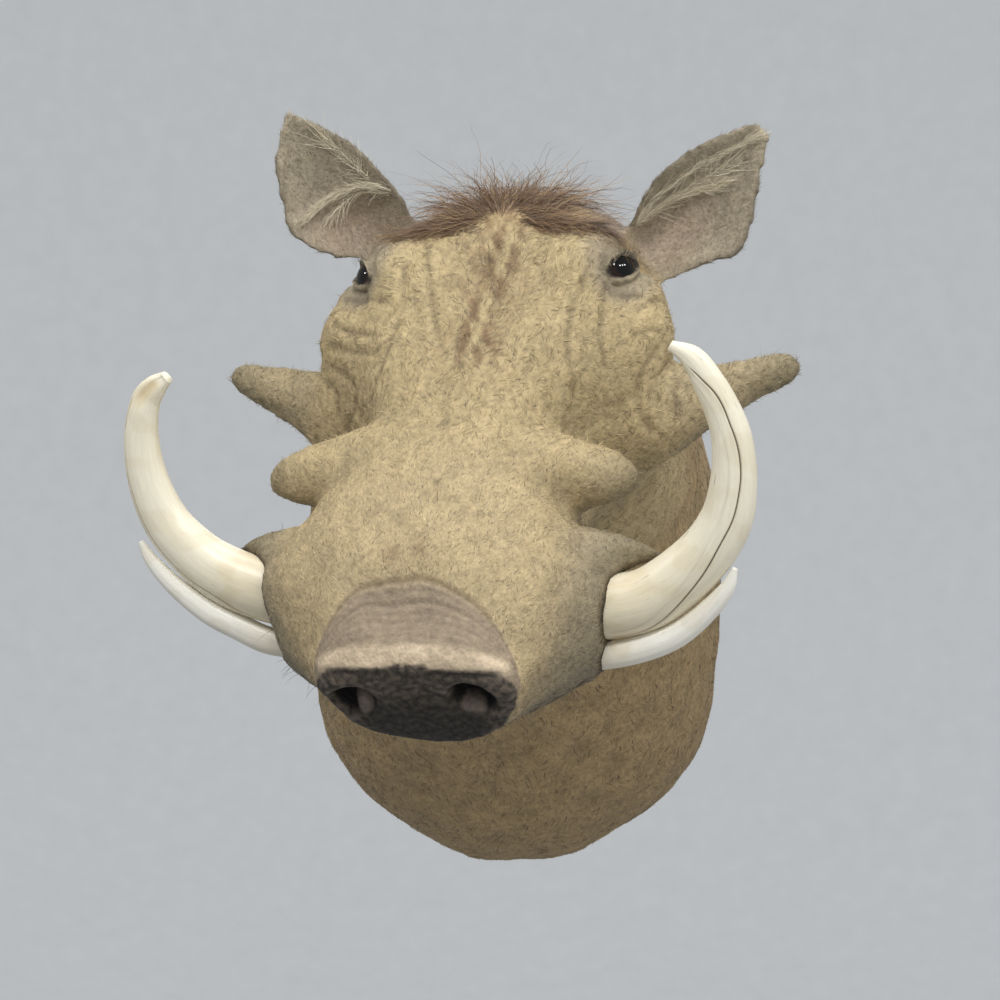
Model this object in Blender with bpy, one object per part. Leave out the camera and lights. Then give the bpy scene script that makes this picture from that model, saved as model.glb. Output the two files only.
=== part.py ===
"""Warthog shoulder mount: the hide over its form, four ivory tusks, two glass eyes and the wall board.

Metres, +Z up. The animal looks along -Y and its back board lies in the wall plane y = 0.
The animal's left is +X. Run it with blender --background --python part.py
"""

import math

import bmesh
import bpy
import numpy as np

MM = 0.001

# How the head is held
PITCH = math.radians(45)  # muzzle below the horizontal
YAW = math.radians(15)  # muzzle towards the animal's right
NOSE = np.array((-0.068, -0.545, -0.067))  # centre of the nose disc

GAP = 0.3 * MM  # between two pieces that touch

# The hide's skin is worked at this fineness, then thinned to this many flat faces
HIDE_VOXEL = 3.0 * MM
HIDE_FACES = 6200

EYE_RADIUS = 15 * MM
EYE_BACK = 3 * MM  # flat back of the glass dome, behind its centre

# Plywood board let into the back, in mm
BOARD_THICK = 18
BOARD_INSET = 30  # hide turned over the form's edge onto its back
BOARD_PROUD = 1.0  # board stands out past the hide, so it meets the wall first

# Z-shaped hanger let into the board, in mm: a plate screwed to it and a lip that hooks over a wall bar
HANGER_WIDTH = 120
HANGER_FOOT = 96  # height of the lip's lower edge above the origin
HANGER_STEEL = 1.5
LIP_HEIGHT = 15
PLATE_HEIGHT = 19
BEND_HEIGHT = 3
RECESS_DEPTH = 3.9
LIP_GAP = 2.0  # behind the lip, for a bar of the same steel
BAR_ROOM = 16  # below the lip, so that the bar can enter
SCREW_SPREAD = 42  # each side of the middle
SCREW_HEAD = 3.6
SCREW_SHANK = 1.8
SCREW_LENGTH = 14

AHEAD = np.array(
    (-math.sin(YAW) * math.cos(PITCH), -math.cos(YAW) * math.cos(PITCH), -math.sin(PITCH))
)
ACROSS = np.array((math.cos(YAW), -math.sin(YAW), 0.0))
DORSAL = np.array(
    (-math.sin(YAW) * math.sin(PITCH), -math.cos(YAW) * math.sin(PITCH), math.cos(PITCH))
)

# Head sections, in mm: behind the nose disc, half width, height of the widest line, top, bottom,
# and how square the section is above and below that line (2 is an ellipse)
HEAD_SECTIONS = (
    (0, 56, 8, 25, -37, 3.0, 2.1),
    (10, 61, 5, 38, -42, 2.6, 2.2),
    (28, 74, -6, 44, -51, 2.2, 2.4),
    (48, 92, -16, 51, -60, 2.1, 2.6),
    (68, 104, -22, 58, -67, 2.1, 2.7),
    (88, 108, -20, 64, -72, 2.1, 2.3),
    (108, 102, -13, 67, -76, 2.1, 2.0),
    (132, 85, -6, 68, -80, 2.2, 1.8),
    (160, 75, -2, 70, -86, 2.2, 1.9),
    (190, 77, 2, 74, -94, 2.3, 1.9),
    (220, 90, 8, 79, -105, 2.4, 1.9),
    (250, 105, 14, 85, -117, 2.5, 1.9),
    (280, 112, 22, 91, -127, 2.7, 1.9),
    (310, 106, 30, 95, -131, 2.8, 1.9),
    (340, 95, 34, 92, -126, 2.6, 1.9),
    (370, 82, 32, 80, -114, 2.3, 2.0),
    (400, 66, 24, 58, -94, 2.1, 2.0),
    (420, 42, 12, 32, -58, 2.0, 2.0),
)

# The muzzle isn't quite straight, in mm: behind the nose disc, shift to the left
MUZZLE_BOW = ((0, 4), (40, -2), (88, -7), (120, -6), (155, -3), (220, 0), (290, 3), (420, 3))

# Outline at the wall, in mm: height, half width, from brisket to withers
WALL_OUTLINE = (
    (-251, 0),
    (-248, 42),
    (-232, 70),
    (-214, 104),
    (-188, 134),
    (-152, 156),
    (-108, 165),
    (-50, 168),
    (0, 168),
    (45, 165),
    (90, 153),
    (130, 138),
    (175, 115),
    (213, 80),
    (231, 40),
    (236, 0),
)

# Neck sections, in mm: out from the wall, half width, top, bottom, shift across, share of plain oval
NECK_SECTIONS = (
    (-14, 166, 235, -250, -3, 0.0),
    (1, 167, 236, -251, -3, 0.0),
    (22, 169, 238, -250, -4, 0.1),
    (70, 167, 240, -240, -6, 0.3),
    (120, 161, 240, -216, -8, 0.5),
    (170, 150, 240, -176, -10, 0.7),
    (220, 138, 238, -126, -12, 0.85),
    (270, 124, 232, -74, -14, 1.0),
    (320, 104, 218, -24, -16, 1.0),
    (360, 80, 196, 30, -18, 1.0),
    (385, 46, 160, 85, -20, 1.0),
)


def head(behind, across, up):
    """Place of points of the head, given in mm behind the nose disc, to the left and above its axis."""
    across = across + through(MUZZLE_BOW, behind)[0, 0]
    return NOSE + (np.multiply.outer(across, ACROSS) + np.multiply.outer(up, DORSAL) - behind * AHEAD) * MM


def through(rows, at):
    """Smooth curve through the rows (first value is the abscissa), read at one place or several."""
    rows = np.array(rows, float)
    x, y = rows[:, 0], rows[:, 1:]
    slope = np.gradient(y, x, axis=0)
    at = np.clip(np.atleast_1d(at), x[0], x[-1])
    i = np.clip(np.searchsorted(x, at) - 1, 0, len(x) - 2)
    step = (x[i + 1] - x[i])[:, None]
    t = (at - x[i])[:, None] / step
    return (
        (1 + 2 * t) * (1 - t) ** 2 * y[i]
        + t * (1 - t) ** 2 * step * slope[i]
        + t * t * (3 - 2 * t) * y[i + 1]
        + t * t * (t - 1) * step * slope[i + 1]
    )


def along(points, count):
    """The given number of points on a smooth curve through the points, even in its parameter."""
    points = np.array(points, float)
    rows = np.column_stack([np.arange(len(points)), points])
    return through(rows, np.linspace(0, len(points) - 1, count))


def unit(vector):
    return vector / np.linalg.norm(vector)


def oval(count):
    """Angles round a section, starting at its left side and rising."""
    return np.linspace(0, 2 * math.pi, count, endpoint=False)


def power(value, square):
    return np.sign(value) * np.abs(value) ** (2 / square)


def link(name, mesh):
    obj = bpy.data.objects.new(name, mesh)
    bpy.context.scene.collection.objects.link(obj)
    return obj


def loft(name, rings):
    """Closed skin over rings that hold the same number of points, with a flat cap at each end."""
    count = len(rings[0])
    faces = [
        (r * count + i, r * count + (i + 1) % count, (r + 1) * count + (i + 1) % count, (r + 1) * count + i)
        for r in range(len(rings) - 1)
        for i in range(count)
    ]
    last = (len(rings) - 1) * count
    faces.append(tuple(range(count))[::-1])
    faces.append(tuple(last + i for i in range(count)))
    mesh = bpy.data.meshes.new(name)
    mesh.from_pydata([tuple(p) for p in np.concatenate(rings)], [], faces)
    bm = bmesh.new()
    bm.from_mesh(mesh)
    bmesh.ops.recalc_face_normals(bm, faces=bm.faces)
    bm.to_mesh(mesh)
    bm.free()
    return link(name, mesh)


def prism(name, outline, travel):
    """Straight solid on a flat outline of places, as long as travel."""
    return loft(name, [outline, outline + travel])


def block(name, low, high):
    """Box between two corners in mm."""
    (left, front, bottom), (right, rear, top) = low, high
    outline = np.array([(x, y, bottom) for x, y in ((left, front), (right, front), (right, rear), (left, rear))])
    return prism(name, outline * MM, np.array((0, 0, top - bottom)) * MM)


def cone(name, middle, radii, flat=1.0, lean=DORSAL, sides=20, rings=14):
    """A wart, tusk or lock: round sections along a curve, flattened along lean."""
    line = along(middle, rings)
    size = along([(r,) for r in radii], rings)[:, 0]
    travel = np.gradient(line, axis=0)
    turn = oval(sides)[:, None]
    made = []
    for point, ahead, radius in zip(line, travel, size):
        ahead = unit(ahead)
        up = unit(lean - ahead * (lean @ ahead))
        side = np.cross(ahead, up)
        made.append(point + radius * (np.cos(turn) * side + np.sin(turn) * up * flat))
    return loft(name, made)


def add_modifier(obj, kind, **settings):
    modifier = obj.modifiers.new(kind.title(), kind)
    for key, value in settings.items():
        setattr(modifier, key, value)


def applied(obj):
    """Bakes the object's modifiers into its mesh."""
    graph = bpy.context.evaluated_depsgraph_get()
    mesh = bpy.data.meshes.new_from_object(obj.evaluated_get(graph))
    obj.modifiers.clear()
    obj.data = mesh


def cut_by(obj, cutter):
    """Takes the cutter's volume out of the object, then drops the cutter."""
    add_modifier(obj, "BOOLEAN", operation="DIFFERENCE", object=cutter)
    applied(obj)
    bpy.data.objects.remove(cutter)


def run_together(name, pieces):
    """One skin round pieces that overlap, without any crumb that it leaves inside."""
    bm = bmesh.new()
    for piece in pieces:
        bm.from_mesh(piece.data)
        bpy.data.objects.remove(piece)
    obj = link(name, bpy.data.meshes.new(name))
    bm.to_mesh(obj.data)
    add_modifier(obj, "REMESH", mode="VOXEL", voxel_size=HIDE_VOXEL, use_smooth_shade=True)
    applied(obj)
    bm.clear()
    bm.from_mesh(obj.data)
    reached = {max(bm.verts, key=lambda vert: vert.co.z)}
    edge_of = list(reached)
    while edge_of:
        edge_of = [b for a in edge_of for b in (e.other_vert(a) for e in a.link_edges) if b not in reached]
        edge_of = list(dict.fromkeys(edge_of))
        reached.update(edge_of)
    bmesh.ops.delete(bm, geom=[vert for vert in bm.verts if vert not in reached], context="VERTS")
    bm.to_mesh(obj.data)
    bm.free()
    return obj


def vertex_array(mesh):
    found = np.empty(len(mesh.vertices) * 3, np.float32)
    mesh.vertices.foreach_get("co", found)
    return found.reshape(-1, 3).astype(float)


def normal_array(mesh):
    found = np.empty(len(mesh.vertices) * 3, np.float32)
    mesh.vertex_normals.foreach_get("vector", found)
    return found.reshape(-1, 3).astype(float)


def store(mesh, points):
    mesh.vertices.foreach_set("co", points.astype(np.float32).ravel())
    mesh.update()


def soften(mesh, turns, keep):
    """Moves each point towards the mean of its neighbours, less where keep is near 1."""
    edges = np.empty(len(mesh.edges) * 2, np.int32)
    mesh.edges.foreach_get("vertices", edges)
    a, b = edges.reshape(-1, 2).T
    points = vertex_array(mesh)
    count = np.bincount(a, minlength=len(points)) + np.bincount(b, minlength=len(points))
    free = 0.6 * (1 - keep)[:, None]
    for _ in range(turns):
        total = np.zeros_like(points)
        for axis in range(3):
            total[:, axis] = np.bincount(a, points[b, axis], len(points))
            total[:, axis] += np.bincount(b, points[a, axis], len(points))
        points += free * (total / count[:, None] - points)
    store(mesh, points)


def head_mass():
    """The skull, muzzle and jaw as one loft from the nose disc to the nape."""
    angles = oval(56)
    rise = np.sin(angles)
    rings = []
    for behind in np.linspace(0, HEAD_SECTIONS[-1][0], 64):
        half, widest, top, bottom, above, below = through(HEAD_SECTIONS, behind)[0]
        square = np.where(rise > 0, above, below)
        height = np.where(rise > 0, top - widest, widest - bottom)
        rings.append(head(behind, half * power(np.cos(angles), square), widest + height * power(rise, square)))
    return loft("head_mass", rings)


def wall_shape(count):
    """Points round the wall outline, scaled to 1 across and from -1 at the brisket to 1 at the withers."""
    right = along([(w, z) for z, w in WALL_OUTLINE], count // 2 + 1)
    left = right[-2:0:-1] * (-1, 1)
    outline = np.concatenate([right, left])
    top, bottom = outline[:, 1].max(), outline[:, 1].min()
    outline[:, 0] /= outline[:, 0].max()
    outline[:, 1] = (outline[:, 1] - (top + bottom) / 2) / ((top - bottom) / 2)
    return outline


def neck_outline(out, shape):
    """The neck's section at a distance out from the wall, in mm across and up."""
    half, top, bottom, shift, share = through(NECK_SECTIONS, out)[0]
    turn = np.arctan2(shape[:, 1], shape[:, 0])
    rounded = np.column_stack([power(np.cos(turn), 2.1), power(np.sin(turn), 2.1)])
    mixed = shape * (1 - share) + rounded * share
    return np.column_stack([shift + half * mixed[:, 0], (top + bottom) / 2 + (top - bottom) / 2 * mixed[:, 1]])


def neck_mass():
    """Neck and shoulders, from behind the wall plane to a nose inside the skull."""
    shape = wall_shape(72)
    rings = []
    for out in np.linspace(NECK_SECTIONS[0][0], NECK_SECTIONS[-1][0], 44):
        x, z = neck_outline(out, shape).T
        rings.append(np.column_stack([x, np.full(len(x), -out), z]) * MM)
    return loft("neck_mass", rings)


# Warts, in mm: behind, across, up and radius, from a root inside the head to the tip
CHEEK_WART = (
    (240, 60, -6, 40), (250, 98, -5, 32), (262, 132, -2, 22), (273, 163, 3, 15.5), (281, 189, 7, 10), (283, 197, 8, 3)
)
NASAL_WART = (
    (163, 40, 30, 33), (160, 66, 32, 28), (157, 88, 32, 22), (155, 106, 31, 16), (154, 117, 30, 9), (154, 120, 30, 3)
)
TUSK_WART = ((109, 76, 6, 23), (111, 98, 8, 17.5), (114, 116, 7, 11), (116, 131, 4, 5.5), (117, 138, 3, 2))


def wart(name, rows, side):
    """A wart on one side of the head."""
    line = [head(behind, side * across, up) for behind, across, up, _ in rows]
    return cone(name, line, np.array([row[3] for row in rows]) * MM)


EAR_LENGTH = 116 * MM
# The ears aren't alike. Share of the length, then mm from the axis to the rim at the crown and the cheek side
EAR_RIM = {
    1: (
        (-0.3, 13, 16), (-0.12, 14, 22), (0, 15, 30), (0.1, 16, 35), (0.2, 21, 38), (0.3, 24, 43), (0.38, 25, 48.5),
        (0.45, 25, 49), (0.55, 24.5, 44), (0.65, 22, 36), (0.8, 16, 22.5), (0.92, 10.5, 13.5), (1.0, 4.5, 6.5),
    ),
    -1: (
        (-0.3, 20, 10), (-0.12, 30, 7), (0, 36, 9), (0.1, 38, 19), (0.2, 39, 29), (0.3, 38, 36), (0.38, 36, 40.5),
        (0.45, 35, 40), (0.6, 31.5, 32.5), (0.72, 24.5, 27.5), (0.82, 17.5, 20.5), (0.9, 12, 12.5), (0.97, 5, 4),
    ),
}
EAR_CUP = ((-0.3, 14), (0, 27), (0.25, 24), (0.6, 13), (1.0, 3))
EAR_WALL = ((-0.3, 12), (0.1, 9), (0.5, 7.5), (1.0, 7))
EAR_ROOT = {1: head(338, 88, 62), -1: head(338, -94, 62)}
EAR_TIP = {1: np.array((0.164, -0.392, 0.304)), -1: np.array((-0.166, -0.335, 0.316))}


def ear_frame(side):
    axis = unit(EAR_TIP[side] - EAR_ROOT[side])
    face = np.array((side * 0.12, -1.0, 0.05))
    face = unit(face - axis * (face @ axis))
    towards_cheek = np.cross(axis, face) * side
    return axis, towards_cheek, face


def ear(side):
    """A cupped leaf, thick at its root, whose hollow looks forward."""
    axis, towards_cheek, face = ear_frame(side)
    sweep = np.linspace(-1, 1, 13)
    rings = []
    for share in np.linspace(-0.3, 1.0, 24):
        crown_side, cheek_side = through(EAR_RIM[side], share)[0]
        cup = through(EAR_CUP, share)[0, 0]
        wall = through(EAR_WALL, share)[0, 0]
        across = np.where(sweep < 0, sweep * crown_side, sweep * cheek_side)
        hollow = -cup * (1 - sweep**2)
        back = hollow - wall * (1 - 0.2 * np.abs(sweep))
        ring = np.column_stack([np.append(across, across[::-1]), np.append(hollow, back[::-1])]) * MM
        rings.append(EAR_ROOT[side] + axis * share * EAR_LENGTH + ring @ np.array((towards_cheek, face)))
    return loft("ear", rings)


def ear_share(points, side):
    """1 on an ear's blade, 0 on the head, so that softening spares the thin edge."""
    share = (points - EAR_ROOT[side]) @ ear_frame(side)[0] / EAR_LENGTH
    return np.clip((share - 0.05) / 0.15, 0, 1)


# Soft forms pushed into the skin: place in head mm, radius, rise along the surface (mm)
FORMS = (
    ("brow ridge", (296, 66, 92), 22, 8),
    ("outer brow", (322, 84, 84), 18, 6),
    ("outer rim of the eye", (302, 103, 52), 16, 5),
    ("pouch under the eye", (274, 104, 44), 22, 9),
    ("fold below the pouch", (255, 104, 26), 16, 6),
    ("cheek arch", (246, 102, 2), 30, 6),
    ("hollow before the eye", (284, 84, 70), 15, -9),
    ("hollow behind the eye", (330, 96, 62), 18, -9),
    ("side of the muzzle", (196, 74, 34), 30, -8),
    ("nasal ridge", (142, 36, 68), 28, 4),
    ("lip over the tusk", (86, 100, 10), 22, 6),
    ("lip under the tusk", (74, 98, -48), 16, 5),
    ("jaw muscle", (275, 92, -70), 45, 10),
    ("chin", (30, 26, -46), 20, 5),
    ("wing of the nose disc", (8, 50, 14), 14, 4),
)
MIDDLE_FORMS = (
    ("forehead hollow", (292, 0, 93), 44, -8),
    ("dip behind the nose disc", (30, 0, 44), 24, -6),
    ("upper rim of the nose disc", (9, 0, 34), 12, 3),
    ("poll", (345, 0, 92), 30, 4),
)
NOSTRILS = {1: (33, 5), -1: (-41, 0)}  # across, up
NOSTRIL_SIZE = (12.5, 11)
NOSTRIL_DEPTH = 17
MOUTH_HALF = (
    (96, 100, -44), (80, 98, -50), (62, 90, -52), (42, 74, -50), (24, 52, -46), (12, 28, -43), (8, 0, -42)
)
MOUTH_WIDTH = 5
MOUTH_DEPTH = 8


def swell(points, normals, place, radius, rise):
    """Pushes the surface out round a place (in where the rise is negative), fading over the radius."""
    away = np.linalg.norm(points - place, axis=1) / (radius * MM)
    return points + normals * (rise * MM * np.exp(-(away**2)))[:, None]


def line_distance(points, line):
    """Distance from each point to a line of short straight runs."""
    best = np.full(len(points), np.inf)
    for start, run in zip(line[:-1], np.diff(line, axis=0)):
        t = np.clip((points - start) @ run / (run @ run), 0, 1)
        best = np.minimum(best, np.linalg.norm(points - start - t[:, None] * run, axis=1))
    return best


def mouth_line():
    """Corner of the mouth under one tusk, round the front of the jaw, to the other corner."""
    mirrored = [(behind, -across, up) for behind, across, up in MOUTH_HALF[-2::-1]]
    return along([head(*place) for place in list(MOUTH_HALF) + mirrored], 60)


def sculpt(mesh):
    """The soft forms, the nostrils and the closed mouth."""
    points = vertex_array(mesh)
    for _, (behind, across, up), radius, rise in FORMS:
        for side in (1, -1):
            points = swell(points, normal_array(mesh), head(behind, side * across, up), radius, rise)
    for _, place, radius, rise in MIDDLE_FORMS:
        points = swell(points, normal_array(mesh), head(*place), radius, rise)
    for side in (1, -1):
        away = (points - head(0, *NOSTRILS[side])) / MM
        reach = np.hypot(away @ ACROSS / NOSTRIL_SIZE[0], away @ DORSAL / NOSTRIL_SIZE[1])
        near = np.abs(away @ AHEAD) < NOSTRIL_DEPTH
        points -= AHEAD * (NOSTRIL_DEPTH * MM * np.exp(-(reach**4)) * near)[:, None]
    groove = np.exp(-((line_distance(points, mouth_line()) / (MOUTH_WIDTH * MM)) ** 2))
    points -= normal_array(mesh) * (MOUTH_DEPTH * MM * groove)[:, None]
    store(mesh, points)


# Crest that the mane grows on, from between the ears to the withers
MANE_CREST = (
    head(344, 0, 92), head(372, 0, 77), head(400, 0, 57), (-0.014, -0.25, 0.246), (-0.011, -0.18, 0.242),
    (-0.008, -0.11, 0.240), (-0.006, -0.065, 0.239),
)
MANE_STATIONS = 12
# Locks on each side, in mm and degrees: distance from the crest, rise of the lock, its length
MANE_ROWS = ((7, 62, 44), (25, 42, 50), (45, 22, 54))
LOCK_RADII = (7.5, 7, 5, 1.5)
LOCK_SETTING = 8  # root below the skin
LOCK_DROOP = 0.34  # fall of the tip, as a share of the length
LOCK_LAY = (0.15, 1.5)  # lean towards the wall, at the brow and at the withers
CREST_RADIUS = 130  # how round the neck is below the crest


def mane():
    """Locks that part to both sides, longer and laid back towards the withers."""
    crest = along(MANE_CREST, 2 * MANE_STATIONS)
    locks = []
    for station in range(MANE_STATIONS):
        for row, (spread, rise, length) in enumerate(MANE_ROWS):
            for side in (1, -1):
                place = crest[2 * station + (row + (side > 0)) % 2]
                back = station / (MANE_STATIONS - 1)
                drop = CREST_RADIUS - math.sqrt(CREST_RADIUS**2 - spread**2)
                root = place + np.array((side * spread, 0, -drop - LOCK_SETTING)) * MM
                angle = math.radians(rise)
                lay = LOCK_LAY[0] * (1 - back) + LOCK_LAY[1] * back
                way = unit(np.array((side * math.cos(angle), lay, math.sin(angle))))
                line = [
                    root + (way * t - np.array((0, 0, LOCK_DROOP * t * t))) * length * MM for t in (0, 0.4, 0.75, 1.1)
                ]
                locks.append(cone("lock", line, np.array(LOCK_RADII) * MM, sides=8, rings=7))
    return locks


EYE_PLACE = {side: head(304, side * 80, 69.5) for side in (1, -1)}
EYE_OUTWARD = {side: unit(0.25 * AHEAD + side * 0.68 * ACROSS + 0.68 * DORSAL) for side in (1, -1)}


def eye(name, side, grow=0.0):
    """Glass dome with a flat back, set in the skull. Grown, it is the hollow that holds it."""
    forward = EYE_OUTWARD[side]
    wide = unit(np.cross(forward, DORSAL))
    across = np.cross(wide, forward)
    radius = EYE_RADIUS + grow
    first = math.asin(-(EYE_BACK + grow) / radius)
    turn = oval(16)[:, None]
    rings = []
    for angle in np.linspace(first, math.radians(82), 7):
        ring = math.cos(angle) * (np.cos(turn) * wide + np.sin(turn) * across) + math.sin(angle) * forward
        rings.append(EYE_PLACE[side] + radius * ring)
    return loft(name, rings)


# Tusks, in mm: behind, across, up and radius, from the root inside the lip to the tip
UPPER_TUSKS = {
    1: ((86, 76, -16, 19), (88, 106, -11.5, 19.8), (91, 133, -6, 19), (103, 163, 14.5, 17), (114.5, 179, 35, 15.5),
        (127, 184, 57, 13.6), (138, 183, 76, 12), (146, 178.5, 89.5, 10.8), (155, 170, 105, 9.4),
        (163, 160, 118.5, 7.2), (167, 147, 125.5, 3)),
    -1: ((88, -80, -12, 19), (92, -113, -4.5, 19.8), (96, -134.5, 3, 19), (102.5, -154, 14, 17.2),
         (113, -173, 32.5, 15.4), (127, -184, 56.5, 13.2), (141, -187, 80, 11.2), (152, -183, 99, 9.4),
         (157, -175.5, 108, 7.6), (160, -166, 114, 4)),
}
LOWER_TUSKS = {
    1: ((69, 84, -38, 8), (69.5, 109.5, -33.5, 8.3), (72, 130.5, -28.5, 8.2), (76, 149, -21.5, 7.6),
        (83, 166.5, -9.5, 6.5), (90, 179.5, 3, 4.7), (96.5, 185, 14, 1.8)),
    -1: ((71, -86, -33.5, 8.4), (71.5, -110.5, -29.5, 8.8), (75.5, -129.5, -22, 8.5), (80.5, -149.5, -12.6, 7.8),
         (88.5, -169, 1.2, 6.4), (97.2, -183.5, 15, 4.6), (104, -190.5, 26, 1.8)),
}
TUSK_SWEEP = math.radians(30)  # the plane of the tusks leans back from the line above the nose
TUSK_NORMAL = np.cross(ACROSS, DORSAL * math.cos(TUSK_SWEEP) - AHEAD * math.sin(TUSK_SWEEP))
TUSK_FLAT = 0.86


def tusk(name, rows, sides, rings, grow=0.0):
    """An ivory canine with its root in the lip. Grown, it is the hollow that holds it."""
    line = [head(*row[:3]) for row in rows]
    line[0] = line[0] + unit(line[0] - line[1]) * grow
    radii = np.array([row[3] for row in rows]) * MM + grow
    return cone(name, line, radii, TUSK_FLAT, TUSK_NORMAL, sides, rings)


def tusks():
    """Each tusk with the cutter for its socket."""
    made = []
    for word, table, sides, rings in (("upper", UPPER_TUSKS, 14, 14), ("lower", LOWER_TUSKS, 12, 10)):
        for side, which in ((1, "left"), (-1, "right")):
            solid = tusk(f"{word}_tusk_{which}", table[side], sides, rings)
            made.append((solid, tusk("socket", table[side], sides, rings, GAP)))
    return made


def inset(outline, distance):
    """The outline, which runs anticlockwise, moved inwards."""
    run = np.roll(outline, -1, 0) - np.roll(outline, 1, 0)
    run /= np.linalg.norm(run, axis=1)[:, None]
    return outline + np.column_stack([-run[:, 1], run[:, 0]]) * distance


def board(name, grow=0.0, rear=0.0):
    """The back board, or with grow the pocket for it, from its front face to rear (mm past the wall)."""
    x, z = inset(neck_outline(1, wall_shape(40)), BOARD_INSET - grow).T
    outline = np.column_stack([x, np.full(len(x), rear), z]) * MM
    return prism(name, outline, np.array((0, -(BOARD_THICK + grow + rear), 0)) * MM)


def hanger():
    """Folded steel: a plate on the recess floor, a bend, and a lip that stands off it."""
    floor = -RECESS_DEPTH + GAP / MM
    lip = -RECESS_DEPTH + LIP_GAP
    bend = HANGER_FOOT + LIP_HEIGHT
    top = bend + BEND_HEIGHT + PLATE_HEIGHT
    profile = np.array((
        (lip, HANGER_FOOT), (lip, bend - HANGER_STEEL / 4), (floor, bend + BEND_HEIGHT - HANGER_STEEL / 4),
        (floor, top), (floor + HANGER_STEEL, top), (floor + HANGER_STEEL, bend + BEND_HEIGHT + HANGER_STEEL / 4),
        (lip + HANGER_STEEL, bend + HANGER_STEEL / 4), (lip + HANGER_STEEL, HANGER_FOOT),
    ))
    outline = np.column_stack([np.full(len(profile), -HANGER_WIDTH / 2), profile]) * MM
    return prism("wall_hanger", outline, np.array((HANGER_WIDTH, 0, 0)) * MM)


def screw(name, side, grow=0.0):
    """Countersunk wood screw in the hanger's plate. Grown, it is the hole for it."""
    face = -RECESS_DEPTH + GAP / MM + HANGER_STEEL
    height = HANGER_FOOT + LIP_HEIGHT + BEND_HEIGHT + PLATE_HEIGHT / 2
    sink = SCREW_HEAD - SCREW_SHANK
    stations = ((0.1 - grow * 4, SCREW_HEAD), (0.3, SCREW_HEAD), (0.3 + sink, SCREW_SHANK),
                (SCREW_LENGTH - 3, SCREW_SHANK), (SCREW_LENGTH + grow, 0.5))
    turn = oval(12)
    rings = [
        np.column_stack([
            side * SCREW_SPREAD + (radius + grow) * np.cos(turn),
            np.full(len(turn), face - depth),
            height + (radius + grow) * np.sin(turn),
        ]) * MM
        for depth, radius in stations
    ]
    return loft(name, rings)


def backing():
    """The board with its recess, the hanger and the two screws that hold it."""
    back_board = board("back_board")
    wide = HANGER_WIDTH / 2 + GAP / MM
    top = HANGER_FOOT + LIP_HEIGHT + BEND_HEIGHT + PLATE_HEIGHT + GAP / MM
    cut_by(back_board, block("recess", (-wide, -RECESS_DEPTH, HANGER_FOOT - BAR_ROOM), (wide, 2, top)))
    wall_hanger = hanger()
    for side in (1, -1):
        for piece in (back_board, wall_hanger):
            cut_by(piece, screw("hole", side, GAP / MM))
    screws = [screw("hanger_screw_left", 1), screw("hanger_screw_right", -1)]
    return [back_board, wall_hanger] + screws


def skin():
    """Masses, warts and ears run together, softened and sculpted, then joined by the mane."""
    pieces = [head_mass(), neck_mass()]
    for side in (1, -1):
        pieces += [wart("cheek_wart", CHEEK_WART, side), wart("nasal_wart", NASAL_WART, side)]
        pieces += [wart("tusk_wart", TUSK_WART, side), ear(side)]
    bare = run_together("bare", pieces)
    points = vertex_array(bare.data)
    soften(bare.data, 12, 0.9 * np.maximum(ear_share(points, 1), ear_share(points, -1)))
    sculpt(bare.data)
    return run_together("hide", [bare] + mane())


def cut_at_wall(obj):
    """Flat back just short of the wall plane."""
    wall = BOARD_PROUD * MM
    points = vertex_array(obj.data)
    close = np.abs(points[:, 1] + wall) < 0.4 * MM
    points[close, 1] = -wall
    store(obj.data, points)
    bm = bmesh.new()
    bm.from_mesh(obj.data)
    everything = bm.verts[:] + bm.edges[:] + bm.faces[:]
    cut = bmesh.ops.bisect_plane(
        bm, geom=everything, dist=1e-5, plane_co=(0, -wall, 0), plane_no=(0, 1, 0), clear_outer=True
    )
    rim = [edge for edge in cut["geom_cut"] if isinstance(edge, bmesh.types.BMEdge)]
    bmesh.ops.holes_fill(bm, edges=rim)
    bm.to_mesh(obj.data)
    bm.free()


def hide(sockets):
    """The skin in flat faces, cut at the wall and hollowed for what is set into it."""
    obj = skin()
    obj.data.calc_loop_triangles()
    add_modifier(obj, "DECIMATE", ratio=HIDE_FACES / len(obj.data.loop_triangles))
    applied(obj)
    cut_at_wall(obj)
    for socket in sockets:
        cut_by(obj, socket)
    return obj


FINISHES = {
    "hide": ((0.40, 0.31, 0.20), 0.9, 0.0),
    "tusk": ((0.83, 0.76, 0.60), 0.35, 0.0),
    "eye": ((0.012, 0.008, 0.006), 0.05, 0.0),
    "board": ((0.55, 0.40, 0.24), 0.7, 0.0),
    "steel": ((0.55, 0.55, 0.56), 0.4, 1.0),
}


def finish(obj, kind, smooth):
    """Gives a piece its material, and round shading up to the given angle in degrees."""
    colour, roughness, metallic = FINISHES[kind]
    material = bpy.data.materials.get(kind) or bpy.data.materials.new(kind)
    material.use_nodes = True
    surface = material.node_tree.nodes["Principled BSDF"]
    surface.inputs["Base Color"].default_value = (*colour, 1)
    surface.inputs["Roughness"].default_value = roughness
    surface.inputs["Metallic"].default_value = metallic
    obj.data.materials.clear()
    obj.data.materials.append(material)
    obj.data.shade_smooth()
    obj.data.set_sharp_from_angle(angle=math.radians(smooth))


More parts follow.
